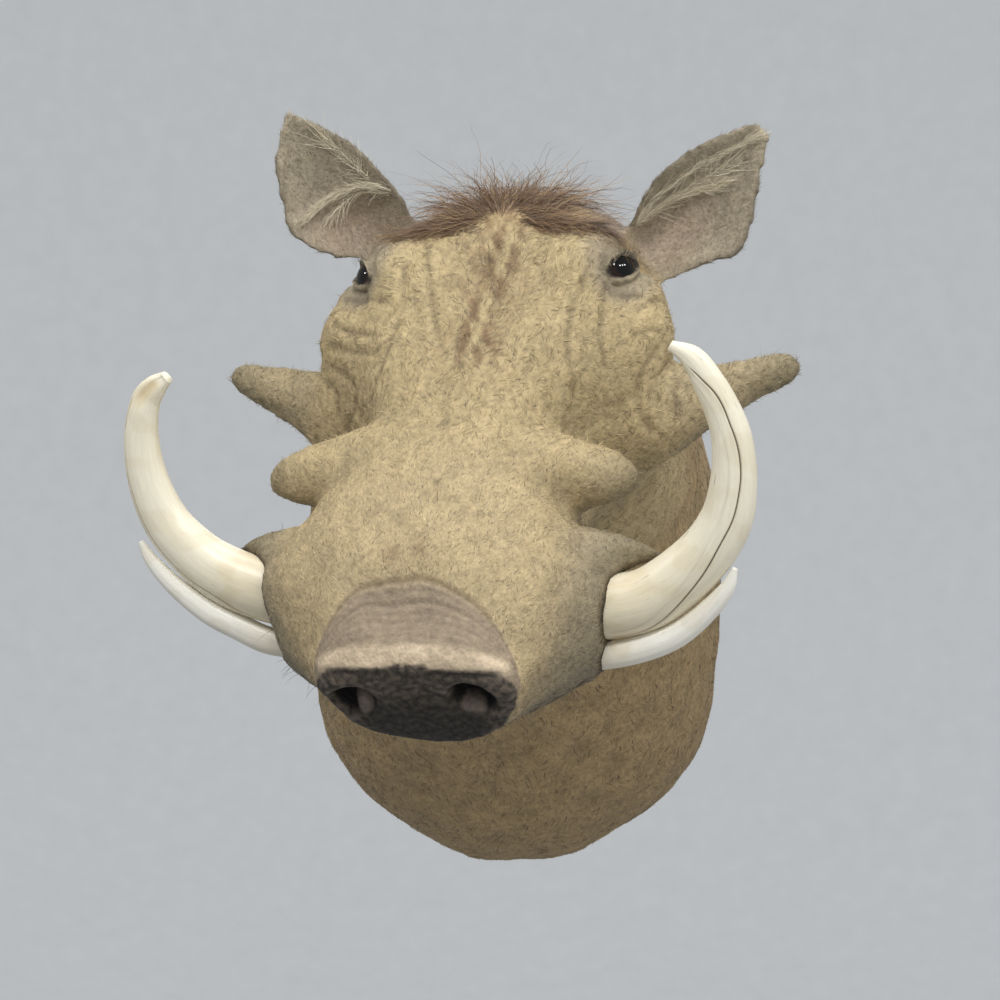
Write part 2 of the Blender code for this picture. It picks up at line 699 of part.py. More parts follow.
def main():
    for obj in list(bpy.data.objects):
        bpy.data.objects.remove(obj)
    sockets = [board("pocket", GAP / MM, 5)]
    for solid, socket in tusks():
        finish(solid, "tusk", 60)
        sockets.append(socket)
    for side, which in ((1, "left"), (-1, "right")):
        finish(eye(f"glass_eye_{which}", side), "eye", 60)
        sockets.append(eye("socket", side, GAP))
    finish(hide(sockets), "hide", 60)
    back_board, *steel = backing()
    finish(back_board, "board", 30)
    for piece in steel:
        finish(piece, "steel", 30)


main()
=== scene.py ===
"""Looks of the warthog shoulder mount: skin, coat, mane, ivory, glass eyes and the plywood back.

Metres, +Z up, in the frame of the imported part. The animal looks along -Y, its left is +X, and its
back board lies in the wall plane y = 0.
"""

import math
from contextlib import contextmanager

import bmesh
import bpy
import numpy as np
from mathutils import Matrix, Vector


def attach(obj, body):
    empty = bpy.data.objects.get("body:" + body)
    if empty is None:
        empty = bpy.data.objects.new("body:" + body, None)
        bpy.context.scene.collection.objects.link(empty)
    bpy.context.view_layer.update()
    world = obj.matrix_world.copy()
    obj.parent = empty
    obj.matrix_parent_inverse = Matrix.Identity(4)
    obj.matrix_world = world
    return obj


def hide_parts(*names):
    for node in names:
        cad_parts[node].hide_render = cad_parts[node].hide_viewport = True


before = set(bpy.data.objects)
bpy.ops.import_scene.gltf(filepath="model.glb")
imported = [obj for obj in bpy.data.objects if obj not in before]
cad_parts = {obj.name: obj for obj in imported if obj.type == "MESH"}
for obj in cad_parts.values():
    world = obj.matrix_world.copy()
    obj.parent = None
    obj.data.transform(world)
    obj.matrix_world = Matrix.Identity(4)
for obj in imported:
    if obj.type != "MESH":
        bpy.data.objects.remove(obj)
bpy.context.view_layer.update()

MM = 0.001

# How the head is held
PITCH = math.radians(45)  # muzzle below the horizontal
YAW = math.radians(15)  # muzzle towards the animal's right
NOSE = np.array((-0.068, -0.545, -0.067))  # centre of the nose disc

AHEAD = np.array(
    (-math.sin(YAW) * math.cos(PITCH), -math.cos(YAW) * math.cos(PITCH), -math.sin(PITCH))
)
ACROSS = np.array((math.cos(YAW), -math.sin(YAW), 0.0))
DORSAL = np.array(
    (-math.sin(YAW) * math.sin(PITCH), -math.cos(YAW) * math.sin(PITCH), math.cos(PITCH))
)

SKIN_VOXEL = 3.3 * MM  # fineness of the skin, which is halved on the face and ears
SKIN_TRIANGLES = 190000  # about what the skin is thinned to
BOARD_PROUD = 1.0 * MM  # the board stands out past the skin at the wall

EYE_RADIUS = 15 * MM

# Number of strands in each coat, which keeps every piece under 200,000 triangles
STRANDS = {
    "muzzle": 56000, "face": 38000, "neck": 62000, "mane": 6000, "fringe": 2600, "ear": 12000, "lashes": 60,
    "whiskers": 420,
}

# Head sections, in mm: behind the nose disc, half width, height of the widest line, top, bottom,
# and how square the section is above and below that line (2 is an ellipse)
HEAD_SECTIONS = (
    (0, 56, 8, 25, -37, 3.0, 2.1),
    (10, 61, 5, 38, -42, 2.6, 2.2),
    (28, 74, -6, 44, -51, 2.2, 2.4),
    (48, 92, -16, 51, -60, 2.1, 2.6),
    (68, 104, -22, 58, -67, 2.1, 2.7),
    (88, 108, -20, 64, -72, 2.1, 2.3),
    (108, 102, -13, 67, -76, 2.1, 2.0),
    (132, 85, -6, 68, -80, 2.2, 1.8),
    (160, 75, -2, 70, -86, 2.2, 1.9),
    (190, 77, 2, 74, -94, 2.3, 1.9),
    (220, 90, 8, 79, -105, 2.4, 1.9),
    (250, 105, 14, 85, -117, 2.5, 1.9),
    (280, 112, 22, 91, -127, 2.7, 1.9),
    (310, 106, 30, 95, -131, 2.8, 1.9),
    (340, 95, 34, 92, -126, 2.6, 1.9),
    (370, 82, 32, 80, -114, 2.3, 2.0),
    (400, 66, 24, 58, -94, 2.1, 2.0),
    (420, 42, 12, 32, -58, 2.0, 2.0),
)

# The muzzle isn't quite straight, in mm: behind the nose disc, shift to the left
MUZZLE_BOW = ((0, 4), (40, -2), (88, -7), (120, -6), (155, -3), (220, 0), (290, 3), (420, 3))

# Outline at the wall, in mm: height, half width, from brisket to withers
WALL_OUTLINE = (
    (-251, 0), (-248, 42), (-232, 70), (-214, 104), (-188, 134), (-152, 156), (-108, 165), (-50, 168),
    (0, 168), (45, 165), (90, 153), (130, 138), (175, 115), (213, 80), (231, 40), (236, 0),
)

# Neck sections, in mm: out from the wall, half width, top, bottom, shift across, share of plain oval
NECK_SECTIONS = (
    (-14, 166, 235, -250, -3, 0.0),
    (1, 167, 236, -251, -3, 0.0),
    (22, 169, 238, -250, -4, 0.1),
    (70, 167, 240, -240, -6, 0.3),
    (120, 161, 240, -216, -8, 0.5),
    (170, 150, 240, -176, -10, 0.7),
    (220, 138, 238, -126, -12, 0.85),
    (270, 124, 232, -74, -14, 1.0),
    (320, 104, 218, -24, -16, 1.0),
    (360, 80, 196, 30, -18, 1.0),
    (385, 46, 160, 85, -20, 1.0),
)


def through(rows, at):
    """Smooth curve through the rows (first value is the abscissa), read at one place or several."""
    rows = np.array(rows, float)
    x, y = rows[:, 0], rows[:, 1:]
    slope = np.gradient(y, x, axis=0)
    at = np.clip(np.atleast_1d(at), x[0], x[-1])
    i = np.clip(np.searchsorted(x, at) - 1, 0, len(x) - 2)
    step = (x[i + 1] - x[i])[:, None]
    t = (at - x[i])[:, None] / step
    return (
        (1 + 2 * t) * (1 - t) ** 2 * y[i]
        + t * (1 - t) ** 2 * step * slope[i]
        + t * t * (3 - 2 * t) * y[i + 1]
        + t * t * (t - 1) * step * slope[i + 1]
    )


def head(behind, across, up):
    """Place of points of the head, given in mm behind the nose disc, to the left and above its axis."""
    across = across + through(MUZZLE_BOW, behind)[0, 0]
    return NOSE + (np.multiply.outer(across, ACROSS) + np.multiply.outer(up, DORSAL) - behind * AHEAD) * MM


def head_place(points):
    """The opposite of head(): mm behind the nose disc, to the left and above, of many points."""
    away = (points - NOSE) / MM
    behind = -away @ AHEAD
    return behind, away @ ACROSS - through(MUZZLE_BOW, behind)[:, 0], away @ DORSAL


def along(points, count):
    """The given number of points on a smooth curve through the points, even in its parameter."""
    points = np.array(points, float)
    rows = np.column_stack([np.arange(len(points)), points])
    return through(rows, np.linspace(0, len(points) - 1, count))


def head_line(places, count):
    """Points on a smooth curve through places given in head mm."""
    return along([head(*place) for place in places], count)


def unit(vector):
    """The vector, or each row of an array of them, at length 1."""
    return vector / np.linalg.norm(vector, axis=-1, keepdims=True)


def ramp(value, low, high):
    """0 below low, 1 above high and smooth between them."""
    t = np.clip((value - low) / (high - low), 0, 1)
    return t * t * (3 - 2 * t)


def hump(value, middle, width):
    return np.exp(-(((value - middle) / width) ** 2))


def ripple(points, period, seed, waves=14):
    """Seeded noise from about -1 to 1, whose waves are about the period (mm) long."""
    rng = np.random.default_rng(seed)
    ways = unit(rng.normal(size=(waves, 3))) * rng.uniform(0.7, 1.4, (waves, 1))
    phase = rng.uniform(0, 2 * math.pi, waves)
    total = np.sin(points @ ways.T * (2 * math.pi / (period * MM)) + phase).sum(1)
    return np.clip(total / math.sqrt(waves), -1, 1)


def oval(count):
    """Angles round a section, starting at its left side and rising."""
    return np.linspace(0, 2 * math.pi, count, endpoint=False)


def power(value, square):
    return np.sign(value) * np.abs(value) ** (2 / square)


def link(name, mesh):
    obj = bpy.data.objects.new(name, mesh)
    bpy.context.scene.collection.objects.link(obj)
    return obj


@contextmanager
def edited(mesh):
    """The mesh opened for editing, and stored again at the end."""
    bm = bmesh.new()
    bm.from_mesh(mesh)
    yield bm
    bm.to_mesh(mesh)
    bm.free()


def loft(name, rings):
    """Closed skin over rings that hold the same number of points, with a flat cap at each end."""
    count = len(rings[0])
    faces = [
        (r * count + i, r * count + (i + 1) % count, (r + 1) * count + (i + 1) % count, (r + 1) * count + i)
        for r in range(len(rings) - 1)
        for i in range(count)
    ]
    last = (len(rings) - 1) * count
    faces.append(tuple(range(count))[::-1])
    faces.append(tuple(last + i for i in range(count)))
    mesh = bpy.data.meshes.new(name)
    mesh.from_pydata([tuple(p) for p in np.concatenate(rings)], [], faces)
    with edited(mesh) as bm:
        bmesh.ops.recalc_face_normals(bm, faces=bm.faces)
    return link(name, mesh)


def cone_rings(middle, radii, flat, lean, turns):
    """Round sections along a curve, flattened along lean, with corners at the angles of each row."""
    line = along(middle, len(turns))
    size = along([(r,) for r in radii], len(turns))[:, 0]
    travel = unit(np.gradient(line, axis=0))
    made = []
    for point, ahead, radius, turn in zip(line, travel, size, turns[:, :, None]):
        up = unit(lean - ahead * (lean @ ahead))
        side = np.cross(ahead, up)
        made.append(point + radius * (np.cos(turn) * side + np.sin(turn) * up * flat))
    return made


def applied(obj):
    """Bakes the object's modifiers into its mesh."""
    graph = bpy.context.evaluated_depsgraph_get()
    mesh = bpy.data.meshes.new_from_object(obj.evaluated_get(graph))
    obj.modifiers.clear()
    obj.data = mesh


def run_together(name, pieces):
    """One skin round pieces that overlap, without any crumb that it leaves inside."""
    bm = bmesh.new()
    for piece in pieces:
        bm.from_mesh(piece.data)
        bpy.data.objects.remove(piece)
    obj = link(name, bpy.data.meshes.new(name))
    bm.to_mesh(obj.data)
    remesh = obj.modifiers.new("Remesh", "REMESH")
    remesh.mode = "VOXEL"
    remesh.voxel_size = SKIN_VOXEL
    applied(obj)
    bm.clear()
    bm.from_mesh(obj.data)
    reached = {max(bm.verts, key=lambda vert: vert.co.z)}
    edge_of = list(reached)
    while edge_of:
        edge_of = [b for a in edge_of for b in (e.other_vert(a) for e in a.link_edges) if b not in reached]
        edge_of = list(dict.fromkeys(edge_of))
        reached.update(edge_of)
    bmesh.ops.delete(bm, geom=[vert for vert in bm.verts if vert not in reached], context="VERTS")
    bm.to_mesh(obj.data)
    bm.free()
    return obj


def vectors(items, key):
    """One vector of each item of a mesh, as an array."""
    found = np.empty(len(items) * 3, np.float32)
    items.foreach_get(key, found)
    return found.reshape(-1, 3).astype(float)


def vertex_array(mesh):
    return vectors(mesh.vertices, "co")


def normal_array(mesh):
    return vectors(mesh.vertex_normals, "vector")


def store(mesh, points):
    mesh.vertices.foreach_set("co", points.astype(np.float32).ravel())
    mesh.update()


def softened(mesh, turns, free):
    """The mesh's points after they moved a share (free) towards the mean of their neighbours, some turns."""
    edges = np.empty(len(mesh.edges) * 2, np.int32)
    mesh.edges.foreach_get("vertices", edges)
    a, b = edges.reshape(-1, 2).T
    points = vertex_array(mesh)
    count = np.bincount(a, minlength=len(points)) + np.bincount(b, minlength=len(points))
    for _ in range(turns):
        total = np.zeros_like(points)
        for axis in range(3):
            total[:, axis] = np.bincount(a, points[b, axis], len(points))
            total[:, axis] += np.bincount(b, points[a, axis], len(points))
        points += free[:, None] * (total / count[:, None] - points)
    return points


def head_mass():
    """The skull, muzzle and jaw as one loft from the nose disc to the nape."""
    angles = oval(96)
    rise = np.sin(angles)
    rings = []
    for behind in np.linspace(0, HEAD_SECTIONS[-1][0], 120):
        half, widest, top, bottom, above, below = through(HEAD_SECTIONS, behind)[0]
        square = np.where(rise > 0, above, below)
        height = np.where(rise > 0, top - widest, widest - bottom)
        across = half * power(np.cos(angles), square)
        rings.append(head(behind, across, widest + height * power(rise, square)))
    return loft("head_mass", rings)


def wall_shape(count):
    """Points round the wall outline, scaled to 1 across and from -1 at the brisket to 1 at the withers."""
    right = along([(w, z) for z, w in WALL_OUTLINE], count // 2 + 1)
    left = right[-2:0:-1] * (-1, 1)
    outline = np.concatenate([right, left])
    top, bottom = outline[:, 1].max(), outline[:, 1].min()
    outline[:, 0] /= outline[:, 0].max()
    outline[:, 1] = (outline[:, 1] - (top + bottom) / 2) / ((top - bottom) / 2)
    return outline


def neck_mass():
    """Neck and shoulders, from behind the wall plane to a nose inside the skull."""
    shape = wall_shape(120)
    turn = np.arctan2(shape[:, 1], shape[:, 0])
    rounded = np.column_stack([power(np.cos(turn), 2.1), power(np.sin(turn), 2.1)])
    rings = []
    for out in np.linspace(NECK_SECTIONS[0][0], NECK_SECTIONS[-1][0], 80):
        half, top, bottom, shift, share = through(NECK_SECTIONS, out)[0]
        mixed = shape * (1 - share) + rounded * share
        x = shift + half * mixed[:, 0]
        z = (top + bottom) / 2 + (top - bottom) / 2 * mixed[:, 1]
        rings.append(np.column_stack([x, np.full(len(x), -out), z]) * MM)
    return loft("neck_mass", rings)


# Warts, in mm: behind, across, up and radius, from a root inside the head to the tip
CHEEK_WART = (
    (240, 60, -6, 40), (250, 98, -5, 32), (262, 132, -2, 22), (273, 163, 3, 15.5), (281, 189, 7, 10),
    (283, 197, 8, 3),
)
NASAL_WART = (
    (163, 40, 30, 33), (160, 66, 32, 28), (157, 88, 32, 22), (155, 106, 31, 16), (154, 117, 30, 9),
    (154, 120, 30, 3),
)
TUSK_WART = ((109, 76, 6, 23), (111, 98, 8, 17.5), (114, 116, 7, 11), (116, 131, 4, 5.5), (117, 138, 3, 2))


def wart_line(rows, side):
    return np.array([head(behind, side * across, up) for behind, across, up, _ in rows])


def wart(name, rows, side):
    """A wart on one side of the head."""
    radii = np.array([row[3] for row in rows]) * MM
    return loft(name, cone_rings(wart_line(rows, side), radii, 1.0, DORSAL, np.tile(oval(36), (30, 1))))


EAR_LENGTH = 116 * MM
# The ears aren't alike. Share of the length, then mm from the axis to the rim at the crown and the cheek side
EAR_RIM = {
    1: (
        (-0.3, 13, 16), (-0.12, 14, 22), (0, 15, 30), (0.1, 16, 35), (0.2, 21, 38), (0.3, 24, 43),
        (0.38, 25, 48.5), (0.45, 25, 49), (0.55, 24.5, 44), (0.65, 22, 36), (0.8, 16, 22.5),
        (0.92, 10.5, 13.5), (1.0, 4.5, 6.5),
    ),
    -1: (
        (-0.3, 20, 10), (-0.12, 30, 7), (0, 36, 9), (0.1, 38, 19), (0.2, 39, 29), (0.3, 38, 36),
        (0.38, 36, 40.5), (0.45, 35, 40), (0.6, 31.5, 32.5), (0.72, 24.5, 27.5), (0.82, 17.5, 20.5),
        (0.9, 12, 12.5), (0.97, 5, 4),
    ),
}
EAR_CUP = ((-0.3, 14), (0, 27), (0.25, 24), (0.6, 13), (1.0, 3))
EAR_WALL = ((-0.3, 12), (0.1, 9), (0.5, 7.5), (1.0, 7))
EAR_ROOT = {1: head(338, 88, 62), -1: head(338, -94, 62)}
EAR_TIP = {1: np.array((0.164, -0.392, 0.304)), -1: np.array((-0.166, -0.335, 0.316))}
# Gristle ridge across each hollow, as share of the length and mm towards the cheek
EAR_RIDGE = {
    1: ((0.16, -10), (0.26, -9), (0.37, -7), (0.48, -1), (0.54, 4), (0.62, 7)),
    -1: ((0.34, -27), (0.41, -18), (0.44, -8), (0.45, 3), (0.45, 19), (0.43, 33)),
}
# Deepest place of each hollow: share, mm towards the cheek, and its reach in mm along and across
EAR_BOWL = {1: (0.2, 10, 26, 13), -1: (0.25, 2, 17, 24)}


def ear_frame(side):
    axis = unit(EAR_TIP[side] - EAR_ROOT[side])
    face = np.array((side * 0.12, -1.0, 0.05))
    face = unit(face - axis * (face @ axis))
    towards_cheek = np.cross(axis, face) * side
    return axis, towards_cheek, face


def ear(side):
    """A cupped leaf, thick at its root, whose hollow looks forward."""
    axis, towards_cheek, face = ear_frame(side)
    sweep = np.linspace(-1, 1, 25)
    rings = []
    for share in np.linspace(-0.3, 1.0, 48):
        crown_side, cheek_side = through(EAR_RIM[side], share)[0]
        cup = through(EAR_CUP, share)[0, 0]
        wall = through(EAR_WALL, share)[0, 0]
        across = np.where(sweep < 0, sweep * crown_side, sweep * cheek_side)
        hollow = -cup * (1 - sweep**2)
        back = hollow - wall * (1 - 0.2 * np.abs(sweep))
        ring = np.column_stack([np.append(across, across[::-1]), np.append(hollow, back[::-1])]) * MM
        rings.append(EAR_ROOT[side] + axis * share * EAR_LENGTH + ring @ np.array((towards_cheek, face)))
    return loft("ear", rings)


def rim_share(side, share, cheekward):
    """How far from the axis (0) to the rim (1) a place on an ear is."""
    rims = through(EAR_RIM[side], share)
    return np.where(cheekward > 0, cheekward / rims[:, 1], -cheekward / rims[:, 0])


def ear_place(points, side):
    """Of points near an ear: share of its length, mm towards the cheek, and how near its rim (1)."""
    axis, towards_cheek, _ = ear_frame(side)
    away = points - EAR_ROOT[side]
    share, cheekward = away @ axis / EAR_LENGTH, away @ towards_cheek / MM
    return share, cheekward, rim_share(side, share, cheekward)


def ear_point(side, share, cheekward):
    """Places on the surface of an ear's hollow."""
    axis, towards_cheek, face = ear_frame(side)
    sweep = rim_share(side, share, cheekward)
    hollow = -through(EAR_CUP, share)[:, 0] * (1 - np.clip(sweep, 0, 1) ** 2)
    return (
        EAR_ROOT[side]
        + np.multiply.outer(share, axis) * EAR_LENGTH
        + (np.multiply.outer(cheekward, towards_cheek) + np.multiply.outer(hollow, face)) * MM
    )


def ear_share(points, side):
    """1 on an ear's blade, 0 on the head, so that softening spares the thin edge."""
    return np.clip(((points - EAR_ROOT[side]) @ ear_frame(side)[0] / EAR_LENGTH - 0.05) / 0.15, 0, 1)


def on_ear(points, side):
    """1 on an ear with its root, 0 on the head and warts."""
    share, cheekward, _ = ear_place(points, side)
    up = head_place(points)[2]
    return ramp(share, -0.06, 0.06) * ramp(up, 28, 38) * (1 - ramp(np.abs(cheekward), 55, 62))


# Soft forms pushed into the skin: place in head mm, radius, rise along the surface (mm)
FORMS = (
    ("brow ridge", (296, 66, 92), 22, 8),
    ("outer brow", (322, 84, 84), 18, 6),
    ("outer rim of the eye", (302, 103, 52), 16, 5),
    ("pouch under the eye", (274, 104, 44), 22, 9),
    ("fold below the pouch", (255, 104, 26), 16, 6),
    ("cheek arch", (246, 102, 2), 30, 6),
    ("hollow before the eye", (284, 84, 70), 15, -9),
    ("hollow behind the eye", (330, 96, 62), 18, -9),
    ("side of the muzzle", (196, 74, 34), 30, -8),
    ("nasal ridge", (142, 36, 68), 28, 4),
    ("lip over the tusk", (86, 100, 10), 22, 6),
    ("lip under the tusk", (74, 98, -48), 16, 5),
    ("jaw muscle", (275, 92, -70), 45, 10),
    ("chin", (30, 26, -46), 20, 5),
    ("wing of the nose disc", (8, 50, 14), 14, 4),
)
MIDDLE_FORMS = (
    ("forehead hollow", (292, 0, 93), 44, -8),
    ("dip behind the nose disc", (30, 0, 44), 24, -6),
    ("upper rim of the nose disc", (9, 0, 34), 12, 3),
    ("poll", (345, 0, 92), 30, 4),
)
NOSTRILS = {1: (33, 5), -1: (-41, 0)}  # across, up
NOSTRIL_SIZE = (12.5, 11)
NOSTRIL_DEPTH = 17
# Soft lobe inside each nostril: across, up, half width, half height
NOSTRIL_LOBES = {1: (30, -5, 9.5, 5), -1: (-36, -5, 6.5, 8)}
MOUTH_HALF = (
    (96, 100, -44), (80, 98, -50), (62, 90, -52), (42, 74, -50), (24, 52, -46), (12, 28, -43), (8, 0, -42)
)
MOUTH_WIDTH = 5
MOUTH_DEPTH = 8
# Crumpled edge of the upper lip, from the corner under the left tusk to the nose disc
LIP_EDGE = (
    (97, 104, -26), (84, 105, -31), (66, 96, -36), (48, 84, -38), (34, 70, -37), (20, 52, -34), (8, 36, -30)
)


def swell(points, normals, place, radius, rise):
    """Pushes the surface out round a place (in where the rise is negative), fading over the radius."""
    away = np.linalg.norm(points - place, axis=1) / (radius * MM)
    return points + normals * (rise * MM * np.exp(-(away**2)))[:, None]


def line_distance(points, line):
    """Distance in mm from each point to a line of short straight runs."""
    best = np.full(len(points), np.inf)
    for start, run in zip(line[:-1], np.diff(line, axis=0)):
        t = np.clip((points - start) @ run / (run @ run), 0, 1)
        best = np.minimum(best, np.linalg.norm(points - start - t[:, None] * run, axis=1))
    return best / MM


def mouth_line():
    """Corner of the mouth under one tusk, round the front of the jaw, to the other corner."""
    mirrored = [(behind, -across, up) for behind, across, up in MOUTH_HALF[-2::-1]]
    return head_line(list(MOUTH_HALF) + mirrored, 60)


def lip_distance(points):
    """Distance in mm from the crumpled edge of the lip."""
    return line_distance(points, head_line(LIP_EDGE, 40)) + 1.1 * ripple(points, 9, 45)


def nostril_place(points, side):
    """Of points near a nostril: mm from its centre, and how near its rim (1)."""
    away = (points - head(0, *NOSTRILS[side])) / MM
    return away, np.hypot(away @ ACROSS / NOSTRIL_SIZE[0], away @ DORSAL / NOSTRIL_SIZE[1])


def nostril_lobe(away, side):
    """1 on the lobe inside a nostril, of points in mm from the hole's centre."""
    across, up, half_width, half_height = NOSTRIL_LOBES[side]
    aside = (away @ ACROSS + NOSTRILS[side][0] - across) / half_width
    above = (away @ DORSAL + NOSTRILS[side][1] - up) / half_height
    return np.exp(-((aside**2 + above**2) ** 2))


def sculpt(mesh):
    """The soft forms, the nostrils and the closed mouth, as in the solid."""
    points = vertex_array(mesh)
    for _, (behind, across, up), radius, rise in FORMS:
        for side in (1, -1):
            points = swell(points, normal_array(mesh), head(behind, side * across, up), radius, rise)
    for _, place, radius, rise in MIDDLE_FORMS:
        points = swell(points, normal_array(mesh), head(*place), radius, rise)
    for side in (1, -1):
        away, reach = nostril_place(points, side)
        near = np.abs(away @ AHEAD) < NOSTRIL_DEPTH
        depth = NOSTRIL_DEPTH * np.exp(-(reach**4)) * (1 - 0.72 * nostril_lobe(away, side))
        points -= AHEAD * (depth * MM * near)[:, None]
    groove = np.exp(-((line_distance(points, mouth_line()) / MOUTH_WIDTH) ** 2))
    points -= normal_array(mesh) * (MOUTH_DEPTH * MM * groove)[:, None]
    store(mesh, points)


EYE_PLACE = {side: head(304, side * 80, 69.5) for side in (1, -1)}
EYE_OUTWARD = {side: unit(0.25 * AHEAD + side * 0.68 * ACROSS + 0.68 * DORSAL) for side in (1, -1)}
EYE_TILT = math.radians(23)  # the opening's outer corner is that much above the head's own line
LID_OPENING = (10.6, 5.3)  # half width and half height between the lids, in mm
LID_INSIDE = 12.5  # skin under the glass, mm from its centre
LID_OUTSIDE = 17.0  # skin at the lid's edge
LID_REACH = 24.0


def eye_frame(side):
    """Directions along and across the opening between the lids, and out of the eye."""
    forward = EYE_OUTWARD[side]
    wide = unit(np.cross(forward, DORSAL))
    high = np.cross(wide, forward)
    tilt = side * EYE_TILT
    return np.array((
        wide * math.cos(tilt) + high * math.sin(tilt), high * math.cos(tilt) - wide * math.sin(tilt), forward
    ))


def eye_place(points, side):
    """Of points near an eye: mm across, up and outward from the centre of the glass."""
    return (points - EYE_PLACE[side]) / MM @ eye_frame(side).T


def eye_reach(points, side):
    """Distance in mm from the centre of the glass."""
    return np.linalg.norm(points - EYE_PLACE[side], axis=1) / MM


def shape_lids(points):
    """Wraps the skin round each glass eye, with an almond opening and a raised edge."""
    for side in (1, -1):
        wide, up, out = eye_place(points, side).T
        centre = EYE_PLACE[side]
        reach = eye_reach(points, side)
        almond = np.hypot(wide / LID_OPENING[0], up / LID_OPENING[1])
        near = (reach < LID_REACH) & (out > 0)
        opened = LID_INSIDE + (LID_OUTSIDE - LID_INSIDE) * ramp(almond, 0.95, 1.2)
        fade = ramp(reach, LID_OUTSIDE, LID_REACH) * ramp(almond, 1.2, 2.0)
        target = opened * (1 - fade) + reach * fade
        upper = ramp(up, 0, 5)
        target = target + (1.0 + 1.8 * upper) * hump(almond, 1.35, 0.22) - 1.0 * hump(almond, 2.1, 0.2)
        scaled = centre + (points - centre) * (target / np.maximum(reach, 1))[:, None]
        points = np.where(near[:, None], scaled, points)
    return points


# Folds of the skin round the eyes, cheeks and warts, each as head mm from one end to the other
FOLDS = (
    ((331, -49, 91), (297, -39, 90), (265, -30, 84), (226, -16, 79)),
    ((329, -65, 91), (283, -52, 90), (251, -50, 80), (223, -53, 70), (204, -61, 53)),
    ((323, 66, 90), (282, 68, 87), (258, 63, 78), (232, 64, 68), (213, 69, 47)),
    ((273, 80, 74), (248, 81, 66), (235, 85, 52)),
    ((289, -100, 66), (283, -86, 70), (267, -63, 82)),
    ((268, -102, 62), (256, -86, 66), (246, -68, 72)),
    ((258, -105, 54), (244, -85, 60), (233, -65, 68), (237, -54, 74)),
    ((248, -105, 44), (230, -84, 47), (219, -80, 36), (218, -91, 14)),
    ((266, -124, 23), (238, -101, 33), (228, -98, 23)),
    ((282, 80, 76), (282, 89, 69), (285, 101, 66)),
    ((275, 101, 64), (288, 109, 60), (292, 113, 54)),
    ((258, 101, 57), (264, 109, 56), (269, 116, 48)),
    ((256, 112, 44), (242, 104, 37), (228, 104, 20), (221, 111, 7)),
    ((266, 130, 21), (245, 124, 21), (233, 126, 10)),
)
FOLD_WIDTH = 2.3  # from the middle of a fold to its side, in mm
FOLD_DEPTH = 0.85
FOLD_SHOULDER = 0.35  # rise of the skin beside a fold

# Arches of bare skin over the nose disc, which meet at its corners: half width and length of the outermost
SNOUT_ARCH = (63, 52)
# Length of each arch as a share of that, and depth of its groove in mm
SNOUT_RINGS = ((1.0, 1.5), (0.89, 0.5), (0.77, 0.8), (0.66, 0.45), (0.56, 0.75), (0.45, 0.45), (0.36, 0.5))


def snout_arch(points):
    """1 on the outermost arch of the snout, less inside it."""
    behind, across, _ = head_place(points)
    bend = np.sqrt(np.clip(1 - (across / SNOUT_ARCH[0]) ** 2, 0.01, 1))
    return behind / (SNOUT_ARCH[1] * bend) + 0.02 * ripple(points, 40, 3)


def creases(points, period, width, seed):
    """Winding lines, 1 in their middle, about half the period apart and drawn out along the head."""
    behind, across, up = head_place(points)
    drawn_out = np.column_stack([0.45 * behind, across, up]) * MM
    return hump(ripple(drawn_out, period, seed), 0, width)


